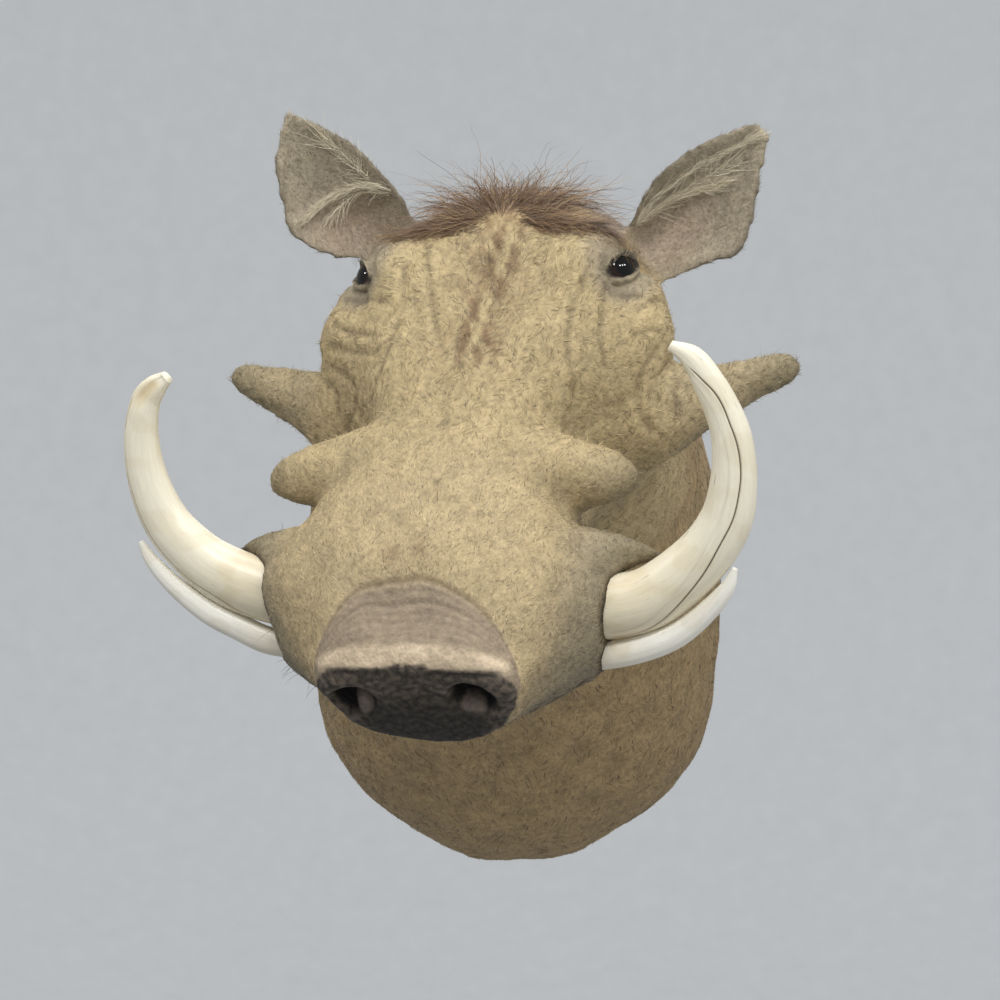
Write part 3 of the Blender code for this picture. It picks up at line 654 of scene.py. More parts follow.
def fold_skin(mesh):
    """Folds, the rings of the snout and warts, and the crinkle of the hide."""
    points = vertex_array(mesh)
    normals = normal_array(mesh)
    behind, _, up = head_place(points)
    face = ramp(behind, 135, 200) * (1 - ramp(behind, 330, 352)) * ramp(up, -60, -20)
    push = np.zeros(len(points))
    below_mane = 1 - ramp(behind, 303, 322)
    for fold in FOLDS:
        away = line_distance(points, head_line(fold, 24))
        push += below_mane * FOLD_SHOULDER * hump(away, 2.6 * FOLD_WIDTH, 1.4 * FOLD_WIDTH)
        push -= below_mane * FOLD_DEPTH * hump(away, 0, FOLD_WIDTH)
    arch = snout_arch(points)
    on_top = ramp(up, 2, 16) * (behind > -2)
    for ring, depth in SNOUT_RINGS:
        push -= depth * on_top * hump(arch, ring, 0.032)
    push += 0.2 * on_top * hump(arch, 1.09, 0.06)
    push -= face * (0.3 * creases(points, 17, 0.3, 41) + 0.34 * creases(points, 7.5, 0.4, 42))
    for side in (1, -1):
        reach = eye_reach(points, side) + 5 * ripple(points, 26, 43)
        ring = ramp(reach, 19, 25) * (1 - ramp(reach, 38, 56))
        push -= 0.18 * ring * hump(np.sin(reach * math.pi / 6.2), 0, 0.4)
    for rows in (CHEEK_WART, NASAL_WART, TUSK_WART):
        for side in (1, -1):
            line = wart_line(rows, side)
            way = (points - line[0]) @ unit(line[-1] - line[0]) / MM
            near = hump(line_distance(points, line[1:]), 0, 26) * ramp(way, 28, 60)
            push -= 0.2 * near * hump(np.sin(way * math.pi / 6.5 + 1.8 * ripple(points, 22, 11)), 0, 0.5)
    lip = lip_distance(points)
    push += 0.8 * hump(lip, 5, 2.5) - 2.2 * hump(lip, 0, 2.2)
    on_head = 1 - ramp(behind, 300, 360)
    push += (0.06 + 0.1 * face) * ripple(points, 6.5, 5) + 0.14 * on_head * ripple(points, 11, 7)
    push += (0.3 + 0.15 * face) * ripple(points, 20, 6) + 0.8 * ripple(points, 45, 8)
    for side in (1, -1):
        blade = on_ear(points, side)
        hollow_side = blade * ramp(normals @ ear_frame(side)[2], 0.1, 0.5)
        share, cheekward, _ = ear_place(points, side)
        ridge = along(EAR_RIDGE[side], 20)
        ridge = line_distance(points, ear_point(side, ridge[:, 0], ridge[:, 1]))
        low, aside, long_reach, wide_reach = EAR_BOWL[side]
        deep = ((share - low) * EAR_LENGTH / MM / long_reach) ** 2 + ((cheekward - aside) / wide_reach) ** 2
        bowl = np.exp(-deep)
        veins = hump(ripple(points, 26, 12), 0, 0.12) * ramp(share, 0.4, 0.6)
        push = push * (1 - 0.8 * blade) + hollow_side * (2.6 * hump(ridge, 0, 4) - 4.5 * bowl + 0.6 * veins)
    store(mesh, points + normals * (push * MM)[:, None])


def cut_at_wall(obj):
    """Flat back just short of the wall plane."""
    points = vertex_array(obj.data)
    close = np.abs(points[:, 1] + BOARD_PROUD) < 0.4 * MM
    points[close, 1] = -BOARD_PROUD
    store(obj.data, points)
    plane = {"plane_co": (0, -BOARD_PROUD, 0), "plane_no": (0, 1, 0)}
    with edited(obj.data) as bm:
        everything = bm.verts[:] + bm.edges[:] + bm.faces[:]
        cut = bmesh.ops.bisect_plane(bm, geom=everything, dist=1e-5, clear_outer=True, **plane)
        rim = [edge for edge in cut["geom_cut"] if isinstance(edge, bmesh.types.BMEdge)]
        bmesh.ops.holes_fill(bm, edges=rim)


def divide_near(obj, chosen):
    """Halves the faces whose corners are all chosen, so that small forms come out crisp."""
    with edited(obj.data) as bm:
        bm.verts.ensure_lookup_table()
        edges = [edge for edge in bm.edges if all(chosen[vert.index] for vert in edge.verts)]
        bmesh.ops.subdivide_edges(bm, edges=edges, cuts=1, use_grid_fill=True)
        bmesh.ops.triangulate(bm, faces=[face for face in bm.faces if len(face.verts) > 4])


def thinned(obj, keep, most):
    """Fewer triangles where the skin is plain, down to the given number."""
    group = obj.vertex_groups.new(name="plain")
    for index, share in enumerate(1 - 0.9 * keep):
        group.add([index], float(share), "REPLACE")
    obj.data.calc_loop_triangles()
    modifier = obj.modifiers.new("fewer", "DECIMATE")
    modifier.ratio = most / len(obj.data.loop_triangles)
    modifier.vertex_group = "plain"
    applied(obj)
    obj.vertex_groups.clear()


def make_skin():
    """Head, neck, warts and ears as one skin, finest at the eyes and the nose disc."""
    pieces = [head_mass(), neck_mass()]
    for side in (1, -1):
        pieces += [wart("cheek_wart", CHEEK_WART, side), wart("nasal_wart", NASAL_WART, side)]
        pieces += [wart("tusk_wart", TUSK_WART, side), ear(side)]
    obj = run_together("skin", pieces)
    points = vertex_array(obj.data)
    blades = np.maximum(ear_share(points, 1), ear_share(points, -1))
    points = softened(obj.data, 10, 0.6 * (1 - 0.9 * blades))
    store(obj.data, points)
    behind, _, up = head_place(points)
    divide_near(obj, ((behind < 345) & (up > np.where(behind < 110, -70, -40))) | (blades > 0))
    store(obj.data, softened(obj.data, 4, np.full(len(obj.data.vertices), 0.45)))
    sculpt(obj.data)
    store(obj.data, shape_lids(vertex_array(obj.data)))
    fold_skin(obj.data)
    points = vertex_array(obj.data)
    behind, _, up = head_place(points)
    fine = (behind < 60) & (up > -60)
    for side in (1, -1):
        fine |= eye_reach(points, side) < LID_REACH
    thinned(obj, np.where(fine, 1.0, 0.0), SKIN_TRIANGLES)
    cut_at_wall(obj)
    obj.data.shade_smooth()
    return obj


# Crest that the mane grows on, from between the ears to the withers
MANE_CREST = (
    head(344, 0, 92), head(372, 0, 77), head(400, 0, 57), (-0.014, -0.25, 0.246), (-0.011, -0.18, 0.242),
    (-0.008, -0.11, 0.240), (-0.006, -0.065, 0.239),
)

# Tusks, in mm: behind, across, up and radius, from the root inside the lip to the tip
UPPER_TUSKS = {
    1: (
        (86, 76, -16, 19), (88, 106, -11.5, 19.8), (91, 133, -6, 19), (103, 163, 14.5, 17),
        (114.5, 179, 35, 15.5), (127, 184, 57, 13.6), (138, 183, 76, 12), (146, 178.5, 89.5, 10.8),
        (155, 170, 105, 9.4), (163, 160, 118.5, 7.2), (167, 147, 125.5, 3),
    ),
    -1: (
        (88, -80, -12, 19), (92, -113, -4.5, 19.8), (96, -134.5, 3, 19), (102.5, -154, 14, 17.2),
        (113, -173, 32.5, 15.4), (127, -184, 56.5, 13.2), (141, -187, 80, 11.2), (152, -183, 99, 9.4),
        (157, -175.5, 108, 7.6), (160, -166, 114, 4),
    ),
}
LOWER_TUSKS = {
    1: (
        (69, 84, -38, 8), (69.5, 109.5, -33.5, 8.3), (72, 130.5, -28.5, 8.2), (76, 149, -21.5, 7.6),
        (83, 166.5, -9.5, 6.5), (90, 179.5, 3, 4.7), (96.5, 185, 14, 1.8),
    ),
    -1: (
        (71, -86, -33.5, 8.4), (71.5, -110.5, -29.5, 8.8), (75.5, -129.5, -22, 8.5),
        (80.5, -149.5, -12.6, 7.8), (88.5, -169, 1.2, 6.4), (97.2, -183.5, 15, 4.6), (104, -190.5, 26, 1.8),
    ),
}
TUSK_SWEEP = math.radians(30)  # the plane of the tusks leans back from the line above the nose
TUSK_NORMAL = np.cross(ACROSS, DORSAL * math.cos(TUSK_SWEEP) - AHEAD * math.sin(TUSK_SWEEP))
TUSK_FLAT = 0.86


def srgb(code):
    """Linear colour of an sRGB hex value."""
    parts = np.array([int(code[i : i + 2], 16) for i in (1, 3, 5)]) / 255
    return np.where(parts <= 0.04045, parts / 12.92, ((parts + 0.055) / 1.055) ** 2.4)


SKIN_COLOURS = {
    "face": srgb("#B09D76"),
    "forehead streak": srgb("#785F43"),
    "muzzle": srgb("#B3A07B"),
    # partly painted shade of the muzzle's lower and left sides
    "muzzle side": srgb("#8B8068"),
    "snout": srgb("#8F806B"),
    "disc rim": srgb("#C6B398"),
    "disc": srgb("#5A5147"),
    "disc middle": srgb("#38332D"),
    "lobe": srgb("#7B6F64"),
    # painted shade in the nostrils, disc creases, tusk sockets, mouth and under the lip
    "black": srgb("#0B0807"),
    "lip": srgb("#807665"),
    "eye skin": srgb("#8D8370"),
    "lid": srgb("#2B241E"),
    "ear": srgb("#A0957F"),
    "ear bowl": srgb("#C0AD98"),
    "ear rim": srgb("#685E4F"),
    "scalp": srgb("#7E6751"),
    "wart": srgb("#A39372"),
    "wart tip": srgb("#857A60"),
    "neck": srgb("#A38C66"),
    # painted shade of the folds, round the tusks and under the lip
    "fold": srgb("#665740"),
}
FOREHEAD_LINE = ((345, 5, 93), (300, 6, 88), (262, 7, 84), (226, 8, 80))
MUZZLE_WHORLS = (head(66, -10, 59), head(70, 6, 60))


def paint(mesh):
    """Colour of the skin at each point, with painted shade in its creases, holes and hollows and on the
    muzzle's lower and left sides, and how much coat of each kind grows there.
    """
    points, normals = vertex_array(mesh), normal_array(mesh)
    behind, across, up = head_place(points)
    beside = np.abs(across)
    below = through(HEAD_SECTIONS, behind)[:, 3] - up
    neck = np.maximum(ramp(behind, 318, 350), ramp(below, 4, 30))
    ears = np.maximum(on_ear(points, 1), on_ear(points, -1))
    crest = line_distance(points, along(MANE_CREST, 30))
    arch = snout_arch(points)
    colour = np.tile(SKIN_COLOURS["face"], (len(points), 1))

    def lay(name, share):
        share = np.clip(share, 0, 1)[:, None]
        colour[:] = colour * (1 - share) + SKIN_COLOURS[name] * share

    lay("muzzle", 1 - ramp(behind, 100, 190))
    # Greyer, darker sides and underside of the muzzle: partly the muzzle's own colour, partly painted shade
    # of its lower sides
    lay("muzzle side", (1 - ramp(behind, 110, 170)) * ramp(beside - 0.5 * up, 62, 108))
    # Painted shade: the muzzle's left side, away from the key lamps, is darkened further
    lay("muzzle side", 0.7 * (1 - ramp(behind, 110, 170)) * ramp(across - 0.6 * up, 45, 95))
    streak = hump(line_distance(points, head_line(FOREHEAD_LINE, 20)), 0, 22)
    lay("forehead streak", streak * (0.5 + 0.6 * ripple(points * (1, 0.5, 0.5), 9, 24)) * 0.9)
    for whorl in MUZZLE_WHORLS:
        away = line_distance(points, np.array((whorl, whorl + 4 * MM * AHEAD)))
        lay("forehead streak", 0.55 * hump(away, 0, 5))
    lay("wart", ramp(beside, 108, 130) * ramp(behind, 222, 240) * (1 - ramp(behind, 300, 316)))
    lay("wart tip", ramp(beside, 150, 190) * ramp(behind, 222, 240) * 0.8)
    lay("wart tip", ramp(beside, 92, 122) * hump(behind, 154, 26) * 0.6)
    lay("wart tip", ramp(beside, 100, 132) * hump(behind, 112, 14) * ramp(up, -6, 2) * 0.8)
    lay("lip", ramp(-up, 8, 42) * (1 - ramp(behind, 120, 180)))
    lay("neck", neck * (1 - ears))
    lay("scalp", (1 - ramp(crest, 36, 52)) * ramp(behind, 338, 350) * (1 - ears))
    snout = (1 - ramp(arch, 0.9, 1.14)) * ramp(up, 4, 14)
    lay("snout", snout)
    for side in (1, -1):
        blade = on_ear(points, side)
        share, cheekward, edge = ear_place(points, side)
        lay("ear", blade)
        facing = ramp(normals @ ear_frame(side)[2], 0.1, 0.4)
        low, aside, long_reach, wide_reach = EAR_BOWL[side]
        bowl = hump((share - low) * EAR_LENGTH / MM, 0, 1.3 * long_reach)
        bowl *= hump(cheekward, aside, 1.3 * wide_reach)
        lay("ear bowl", 0.8 * blade * facing * bowl)
        lay("ear rim", blade * ramp(edge, 0.82, 1.0) * 0.8)
        wide, high, out = eye_place(points, side).T
        reach = eye_reach(points, side)
        lay("eye skin", 0.8 * (1 - ramp(reach, 22, 36)))
        almond = np.hypot(wide / LID_OPENING[0], high / LID_OPENING[1])
        lay("lid", (1 - ramp(almond, 1.3, 1.5)) * (out > 0) * (reach < LID_REACH))
    lay("disc rim", (1 - ramp(behind, 10, 15)) * ramp(up, 20, 26))
    front = 1 - ramp(behind + 0.3 * ripple(points, 9, 25), 2.4, 3.8)
    holes = {}
    for side in (1, -1):
        away, reach = nostril_place(points, side)
        front = np.maximum(front, (reach < 1.6) * (behind < 25) * (up < 22))
        holes[side] = away, (1 - ramp(reach, 0.95, 1.2)) * (behind < 25)
    lay("disc", front)
    lay("disc middle", front * ramp(-up, -12, 8) * (1 - ramp(beside, 30, 46)))
    # Painted shade of creases on the nose disc, as black winding lines
    lay("black", 0.7 * front * creases(points, 8, 0.3, 44))
    colour *= (1 + 0.4 * front * ripple(points, 6, 26))[:, None]
    # Painted shade: a black line along the upper edge of the nose disc, under its raised rim
    lay("black", 0.9 * hump(up, 25.5, 2.0) * hump(behind, 3.0, 2.5) * (beside < 58))
    for side in (1, -1):
        away, hole = holes[side]
        # Painted shade: the nostril holes are painted black
        lay("black", hole)
        lay("lobe", 0.9 * hole * ramp(nostril_lobe(away, side), 0.2, 0.7))
        for rows, radius in ((UPPER_TUSKS[side], 19.5), (LOWER_TUSKS[side], 8.5)):
            # Painted shade round each tusk where it leaves the lip: a darker band and a black ring next to
            # the ivory
            socket = line_distance(points, head_line([row[:3] for row in rows[:4]], 12)) - radius
            lay("fold", 0.8 * (1 - ramp(socket, 1.5, 5)))
            lay("black", 0.7 * (1 - ramp(socket, 0.2, 1.8)))
    # Painted shade: a black line in the groove of the closed mouth
    lay("black", 0.8 * hump(line_distance(points, mouth_line()), 0, 2.4))
    # Painted shade under the crumpled edge of the upper lip: a dark band and a black line
    lay("fold", 0.7 * hump(lip_distance(points), 0, 5))
    lay("black", 0.9 * hump(lip_distance(points) + 1.2 * ripple(points, 9, 27), 0, 2.4))
    # Painted shade along the folds of the skin
    for fold in FOLDS:
        lay("fold", 0.4 * hump(line_distance(points, head_line(fold, 24)), 0, 2.0))
    # Painted shade and light: the skin is darkened in its hollows and lightened on its ridges, and the hair
    # grown on it takes this up
    sunk = points - softened(mesh, 8, np.full(len(points), 0.6))
    painted_relief_shade = np.clip((sunk * normals).sum(1) / (0.45 * MM), -1, 0.7)
    colour *= (1 + 0.14 * painted_relief_shade * (1 - 0.5 * ears))[:, None]
    colour *= (1 + 0.05 * ripple(points, 34, 21) + 0.05 * ripple(points, 9, 22))[:, None]

    furred = (1 - neck) * (1 - ears) * (1 - snout) * (1 - front) * (1 - ramp(behind, 335, 348))
    for side in (1, -1):
        furred *= ramp(eye_reach(points, side), 19, 24)
    furred *= 1 - (1 - ramp(behind, 10, 14)) * ramp(up, 20, 26)
    furred *= ramp(lip_distance(points), 2.5, 6)
    coat = {
        "head": furred,
        "neck": neck * (1 - ears) * (points[:, 1] < -4 * MM) * (0.25 + 0.75 * ramp(crest, 30, 50)),
        "ears": ears,
    }
    return points, normals, np.clip(colour, 0, 1), coat


def tint(mesh, colour):
    """Keeps a colour for each point of the mesh, which its material reads."""
    layer = mesh.color_attributes.new("tint", "FLOAT_COLOR", "POINT")
    opaque = np.column_stack([colour, np.ones(len(colour))])
    layer.data.foreach_set("color", opaque.astype(np.float32).ravel())


def add(tree, kind, inputs=(), **settings):
    """Adds a node with its settings. An input is a fixed value or the socket that feeds it."""
    node = tree.nodes.new(kind)
    for key, value in settings.items():
        setattr(node, key, value)
    for key, value in dict(inputs).items():
        if isinstance(value, bpy.types.NodeSocket):
            tree.links.new(value, node.inputs[key])
        else:
            node.inputs[key].default_value = value
    return node


def surface(name, **values):
    """A new material and the tree and shader that it holds."""
    material = bpy.data.materials.new(name)
    material.use_nodes = True
    shader = material.node_tree.nodes["Principled BSDF"]
    for key, value in values.items():
        shader.inputs[key.replace("_", " ")].default_value = value
    return material, material.node_tree, shader


def per(size):
    """Scale of a pattern whose grain is this many mm."""
    return 1 / (size * MM)


def tanned_hide():
    """Tanned pigskin: matt, pored and crinkled, with the colour of each region."""
    material, tree, shader = surface("tanned_hide", Roughness=0.72, IOR=1.45)
    place = add(tree, "ShaderNodeTexCoord").outputs["Object"]
    region = add(tree, "ShaderNodeAttribute", attribute_name="tint").outputs["Color"]
    mottle = add(
        tree, "ShaderNodeTexNoise", {"Vector": place, "Scale": per(4), "Detail": 5.0, "Roughness": 0.7}
    )
    shade = add(
        tree, "ShaderNodeMapRange", {"Value": mottle.outputs["Fac"], 1: 0.3, 2: 0.7, 3: 0.74, 4: 1.22}
    ).outputs["Result"]
    mixed = add(tree, "ShaderNodeVectorMath", {0: region, "Scale": shade}, operation="SCALE")
    tree.links.new(mixed.outputs["Vector"], shader.inputs["Base Color"])
    pores = add(tree, "ShaderNodeTexVoronoi", {"Vector": place, "Scale": per(2.2)})
    cracks = add(
        tree, "ShaderNodeTexNoise", {"Vector": place, "Scale": per(3), "Detail": 6.0, "Roughness": 0.7}
    )
    parts = {0: pores.outputs["Distance"], 1: cracks.outputs["Fac"]}
    height = add(tree, "ShaderNodeMath", parts, operation="ADD")
    bump = add(
        tree, "ShaderNodeBump", {"Height": height.outputs["Value"], "Strength": 0.45, "Distance": 0.0008}
    )
    tree.links.new(bump.outputs["Normal"], shader.inputs["Normal"])
    return material


def tinted(name, **values):
    """A material that takes its colour from the mesh alone."""
    material, tree, shader = surface(name, **values)
    region = add(tree, "ShaderNodeAttribute", attribute_name="tint").outputs["Color"]
    tree.links.new(region, shader.inputs["Base Color"])
    return material


def tusk_ivory():
    """Ivory: waxy gloss over cream dentine, with fine lines along the tusk and brown specks in its pits."""
    material, tree, shader = surface("tusk_ivory", Roughness=0.34, IOR=1.54)
    region = add(tree, "ShaderNodeAttribute", attribute_name="tint").outputs["Color"]
    grain = add(tree, "ShaderNodeAttribute", attribute_name="grain").outputs["Vector"]
    lines = add(
        tree, "ShaderNodeTexNoise", {"Vector": grain, "Scale": per(1.5), "Detail": 5.0, "Roughness": 0.6}
    )
    shade = add(
        tree, "ShaderNodeMapRange", {"Value": lines.outputs["Fac"], 1: 0.3, 2: 0.6, 3: 0.93, 4: 1.02}
    ).outputs["Result"]
    pits = add(
        tree, "ShaderNodeTexNoise", {"Vector": grain, "Scale": per(2.6), "Detail": 2.0, "Roughness": 0.5}
    )
    clean = add(
        tree, "ShaderNodeMapRange", {"Value": pits.outputs["Fac"], 1: 0.71, 2: 0.76, 3: 1.0, 4: 0.5}
    ).outputs["Result"]
    both = add(tree, "ShaderNodeMath", {0: shade, 1: clean}, operation="MULTIPLY").outputs["Value"]
    mixed = add(tree, "ShaderNodeVectorMath", {0: region, "Scale": both}, operation="SCALE")
    tree.links.new(mixed.outputs["Vector"], shader.inputs["Base Color"])
    bump = add(tree, "ShaderNodeBump", {"Height": both, "Strength": 0.3, "Distance": 0.0005})
    tree.links.new(bump.outputs["Normal"], shader.inputs["Normal"])
    return material


def birch_plywood():
    """Birch plywood: pale veneers of 1.4 mm, with grain along the rear face."""
    material, tree, shader = surface("birch_plywood", Roughness=0.6, IOR=1.45)
    place = add(tree, "ShaderNodeTexCoord").outputs["Object"]
    stretched = add(tree, "ShaderNodeMapping", {"Vector": place, "Scale": (12.0, 12.0, 1.0)})
    grain = add(
        tree, "ShaderNodeTexNoise", {"Vector": stretched.outputs["Vector"], "Scale": per(30), "Detail": 8.0}
    )
    depth = add(tree, "ShaderNodeSeparateXYZ", {"Vector": place}).outputs["Y"]
    plies = add(tree, "ShaderNodeMath", {0: depth, 1: 2 * math.pi / (2.8 * MM)}, operation="MULTIPLY")
    layer = add(tree, "ShaderNodeMath", {0: plies.outputs["Value"]}, operation="SINE")
    parts = {0: layer.outputs["Value"], 1: 0.12, 2: grain.outputs["Fac"]}
    weight = add(tree, "ShaderNodeMath", parts, operation="MULTIPLY_ADD")
    tone = add(tree, "ShaderNodeValToRGB", {"Fac": weight.outputs["Value"]})
    tone.color_ramp.elements[0].position = 0.3
    tone.color_ramp.elements[0].color = (*srgb("#A9804E"), 1)
    tone.color_ramp.elements[1].position = 0.7
    tone.color_ramp.elements[1].color = (*srgb("#D9B98A"), 1)
    tree.links.new(tone.outputs["Color"], shader.inputs["Base Color"])
    bump = add(tree, "ShaderNodeBump", {"Height": grain.outputs["Fac"], "Strength": 0.2, "Distance": 0.0004})
    tree.links.new(bump.outputs["Normal"], shader.inputs["Normal"])
    return material


def zinc_plate():
    """Zinc-plated folded steel: grey, slightly cloudy."""
    material, tree, shader = surface("zinc_plate", Metallic=1.0)
    place = add(tree, "ShaderNodeTexCoord").outputs["Object"]
    cloud = add(tree, "ShaderNodeTexNoise", {"Vector": place, "Scale": per(4), "Detail": 4.0})
    tone = add(tree, "ShaderNodeValToRGB", {"Fac": cloud.outputs["Fac"]})
    tone.color_ramp.elements[0].color = (*srgb("#A8ABAE"), 1)
    tone.color_ramp.elements[1].color = (*srgb("#D2D4D6"), 1)
    tree.links.new(tone.outputs["Color"], shader.inputs["Base Color"])
    rough = add(tree, "ShaderNodeMapRange", {"Value": cloud.outputs["Fac"], 3: 0.28, 4: 0.5})
    tree.links.new(rough.outputs["Result"], shader.inputs["Roughness"])
    return material


HIDE = tanned_hide()
# Bristle: a dull sheen along each strand, coloured strand by strand
HAIR = tinted("keratin_hair", Roughness=0.55, IOR=1.55)
IVORY = tusk_ivory()
# Painted glass: near black, polished, with only sharp highlights
GLASS = tinted("eye_glass", Roughness=0.03, IOR=1.5)


def finish_piece(obj, material):
    """Gives a piece its material and its place on the one body."""
    obj.data.materials.clear()
    obj.data.materials.append(material)
    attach(obj, "root")
    return obj


class Ground:
    """The finished skin as arrays, to grow hair on."""

    def __init__(self, obj):
        mesh = obj.data
        mesh.calc_loop_triangles()
        corners = np.empty(len(mesh.loop_triangles) * 3, np.int32)
        mesh.loop_triangles.foreach_get("vertices", corners)
        self.corners = corners.reshape(-1, 3)
        self.points, self.normals, self.colour, self.coat = paint(mesh)
        a, b, c = (self.points[self.corners[:, i]] for i in range(3))
        self.area = np.linalg.norm(np.cross(b - a, c - a), axis=1) / 2

    def sow(self, rng, count, density):
        """Roots spread at random with the density at each point: places, normals and skin colours, with the
        skin's painted shade.
        """
        chance = np.cumsum(self.area * density[self.corners].mean(1))
        chosen = self.corners[np.searchsorted(chance, rng.uniform(0, chance[-1], count))]
        share = rng.dirichlet((1, 1, 1), count)[:, :, None]
        place, normal, colour = (
            (values[chosen] * share).sum(1) for values in (self.points, self.normals, self.colour)
        )
        return place, unit(normal), colour


def strands(name, roots, ways, bends, facing, lengths, widths, colours, steps, wave=0.0, shades=(0.7, 1.15)):
    """Tapered ribbons as one mesh. A strand leaves its root along way and bends by bend times its length."""
    count = len(roots)
    t = np.linspace(0, 1, steps + 1)
    side = unit(np.cross(ways, facing) + 1e-9)
    spine = (
        roots[:, None]
        + (ways[:, None] * t[None, :, None] + bends[:, None] * (t**2)[None, :, None]) * lengths[:, None, None]
    )
    number = np.arange(count)[:, None]
    swing = np.sin(t[None] * (7 + 4 * np.sin(number)) + number) * t[None]
    spine += side[:, None] * (swing * wave * MM)[:, :, None]
    spine[:, :, 1] = np.minimum(spine[:, :, 1], -0.3 * MM)  # nothing grows into the wall
    half = widths[:, None, None] / 2 * (1 - 0.6 * t[:-1])[None, :, None]
    left = spine[:, :-1] + side[:, None] * half
    right = spine[:, :-1] - side[:, None] * half
    points = np.concatenate([np.stack([left, right], 2).reshape(count, -1, 3), spine[:, -1:]], 1)
    each = 2 * steps + 1
    pattern = []
    for i in range(steps - 1):
        a = 2 * i
        pattern += [(a, a + 1, a + 3), (a, a + 3, a + 2)]
    pattern.append((each - 3, each - 2, each - 1))
    corners = (np.arange(count)[:, None, None] * each + np.array(pattern)[None]).reshape(-1)
    mesh = bpy.data.meshes.new(name)
    mesh.vertices.add(count * each)
    mesh.vertices.foreach_set("co", points.astype(np.float32).ravel())
    mesh.loops.add(len(corners))
    mesh.loops.foreach_set("vertex_index", corners.astype(np.int32))
    mesh.polygons.add(len(corners) // 3)
    mesh.polygons.foreach_set("loop_start", np.arange(0, len(corners), 3, dtype=np.int32))
    mesh.update(calc_edges=True)
    mesh.shade_smooth()
    lightness = np.append(np.repeat(t[:-1], 2), 1.0) * (shades[1] - shades[0]) + shades[0]
    tint(mesh, np.clip(colours[:, None] * lightness[None, :, None], 0, 1).reshape(-1, 3))
    finish_piece(link(name, mesh), HAIR)


def flat_to(ways, normals):
    """The ways without their part along the normals."""
    return ways - normals * (ways * normals).sum(1)[:, None]


def coat_way(points, normals):
    """How the short coat lies: back from the snout, parting at the middle of the forehead."""
    behind, across, up = head_place(points)
    part = np.tanh(across / 30) * (0.25 + 0.5 * ramp(behind, 200, 280))
    ways = -AHEAD + ACROSS * part[:, None] - 0.35 * DORSAL * ramp(-up, -20, 60)[:, None]
    return unit(flat_to(ways, normals))


def crinkled(points, ways, normals, amount, period, seed):
    """Turns the ways sideways together with their neighbours, so that the coat lies in small waves."""
    side = np.cross(normals, ways)
    return unit(ways + side * (amount * ripple(points, period, seed))[:, None])


def short_coat(ground, name, count, density, length, width, curl, dark_share, steps, seed):
    """Short hair of head or muzzle, flat on the skin and crinkled by curl, with longer dark ones in it."""
    rng = np.random.default_rng(seed)
    roots, normals, colours = ground.sow(rng, count, density)
    ways = crinkled(roots, coat_way(roots, normals), normals, curl, 13, seed)
    ways = unit(ways + rng.normal(size=ways.shape) * 0.25)
    streak = hump(line_distance(roots, head_line(FOREHEAD_LINE, 20)), 0, 34)
    dark = rng.uniform(size=count) < dark_share * (0.4 + streak) * (1 + 0.8 * ripple(roots, 16, seed + 3))
    lift = rng.uniform(0.03, 0.16, count)
    ways = unit(flat_to(ways, normals) + normals * lift[:, None])
    bends = rng.normal(size=ways.shape) * 0.3 * curl - normals * 0.12
    sizes = length * MM * rng.uniform(0.6, 1.35, count) * np.where(dark, 1.35, 1)
    facing = unit(normals + rng.normal(size=normals.shape) * 0.45)
    behind, across, up = head_place(roots)
    drawn_out = np.column_stack([0.4 * behind, across, up]) * MM
    light = 1.08 + 0.14 * ripple(drawn_out, 3.5, seed + 1) + 0.06 * ripple(roots, 17, seed + 2)
    light = np.clip(light + rng.normal(size=count) * 0.32, 0.3, 1.9)
    colours = colours * np.where(dark, 0.6, light)[:, None]
    widths = width * MM * rng.uniform(0.7, 1.3, count)
    strands(name, roots, ways, bends, facing, sizes, widths, colours, steps)


def neck_coat(ground, seed=31):
    """Short brown hair of neck and shoulders, lying back and down, with some dark bristles."""
    rng = np.random.default_rng(seed)
    count = STRANDS["neck"]
    roots, normals, colours = ground.sow(rng, count, ground.coat["neck"])
    ways = unit(flat_to(np.array((0, 0.8, -0.6)) + 0 * normals, normals))
    ways = crinkled(roots, ways, normals, 0.8, 18, seed)
    ways = unit(ways + rng.normal(size=ways.shape) * 0.16)
    dark = rng.uniform(size=count) < 0.05 + 0.02 * ripple(roots, 30, 37)
    lift = rng.uniform(0.03, 0.14, count)
    ways = unit(flat_to(ways, normals) + normals * lift[:, None])
    bends = rng.normal(size=ways.shape) * 0.12 - normals * 0.08
    sizes = rng.uniform(4, 7, count) * MM * np.where(dark, 1.4, 1)
    facing = unit(normals + rng.normal(size=normals.shape) * 0.4)
    light = np.where(dark, 0.35, 1.04 + 0.05 * ripple(roots, 12, 35)) + rng.normal(size=count) * 0.22
    colours = colours * np.clip(light, 0.2, 1.8)[:, None]
    widths = rng.uniform(0.3, 0.5, count) * MM * np.where(dark, 1.3, 1)
    strands("coat_neck", roots, ways, bends, facing, sizes, widths, colours, 2)


MANE_COLOURS = (srgb("#5C4330"), srgb("#806144"), srgb("#A5885F"), srgb("#6C5239"))
# Mane: mm from the crest, rise of a strand there in degrees, and its length in mm
MANE_SPREAD = ((0, 66, 42), (7, 52, 46), (25, 36, 52), (45, 20, 54))
MANE_DROOP = 0.42
MANE_LAY = (0.15, 1.5)  # lean towards the wall, at the brow and at the withers


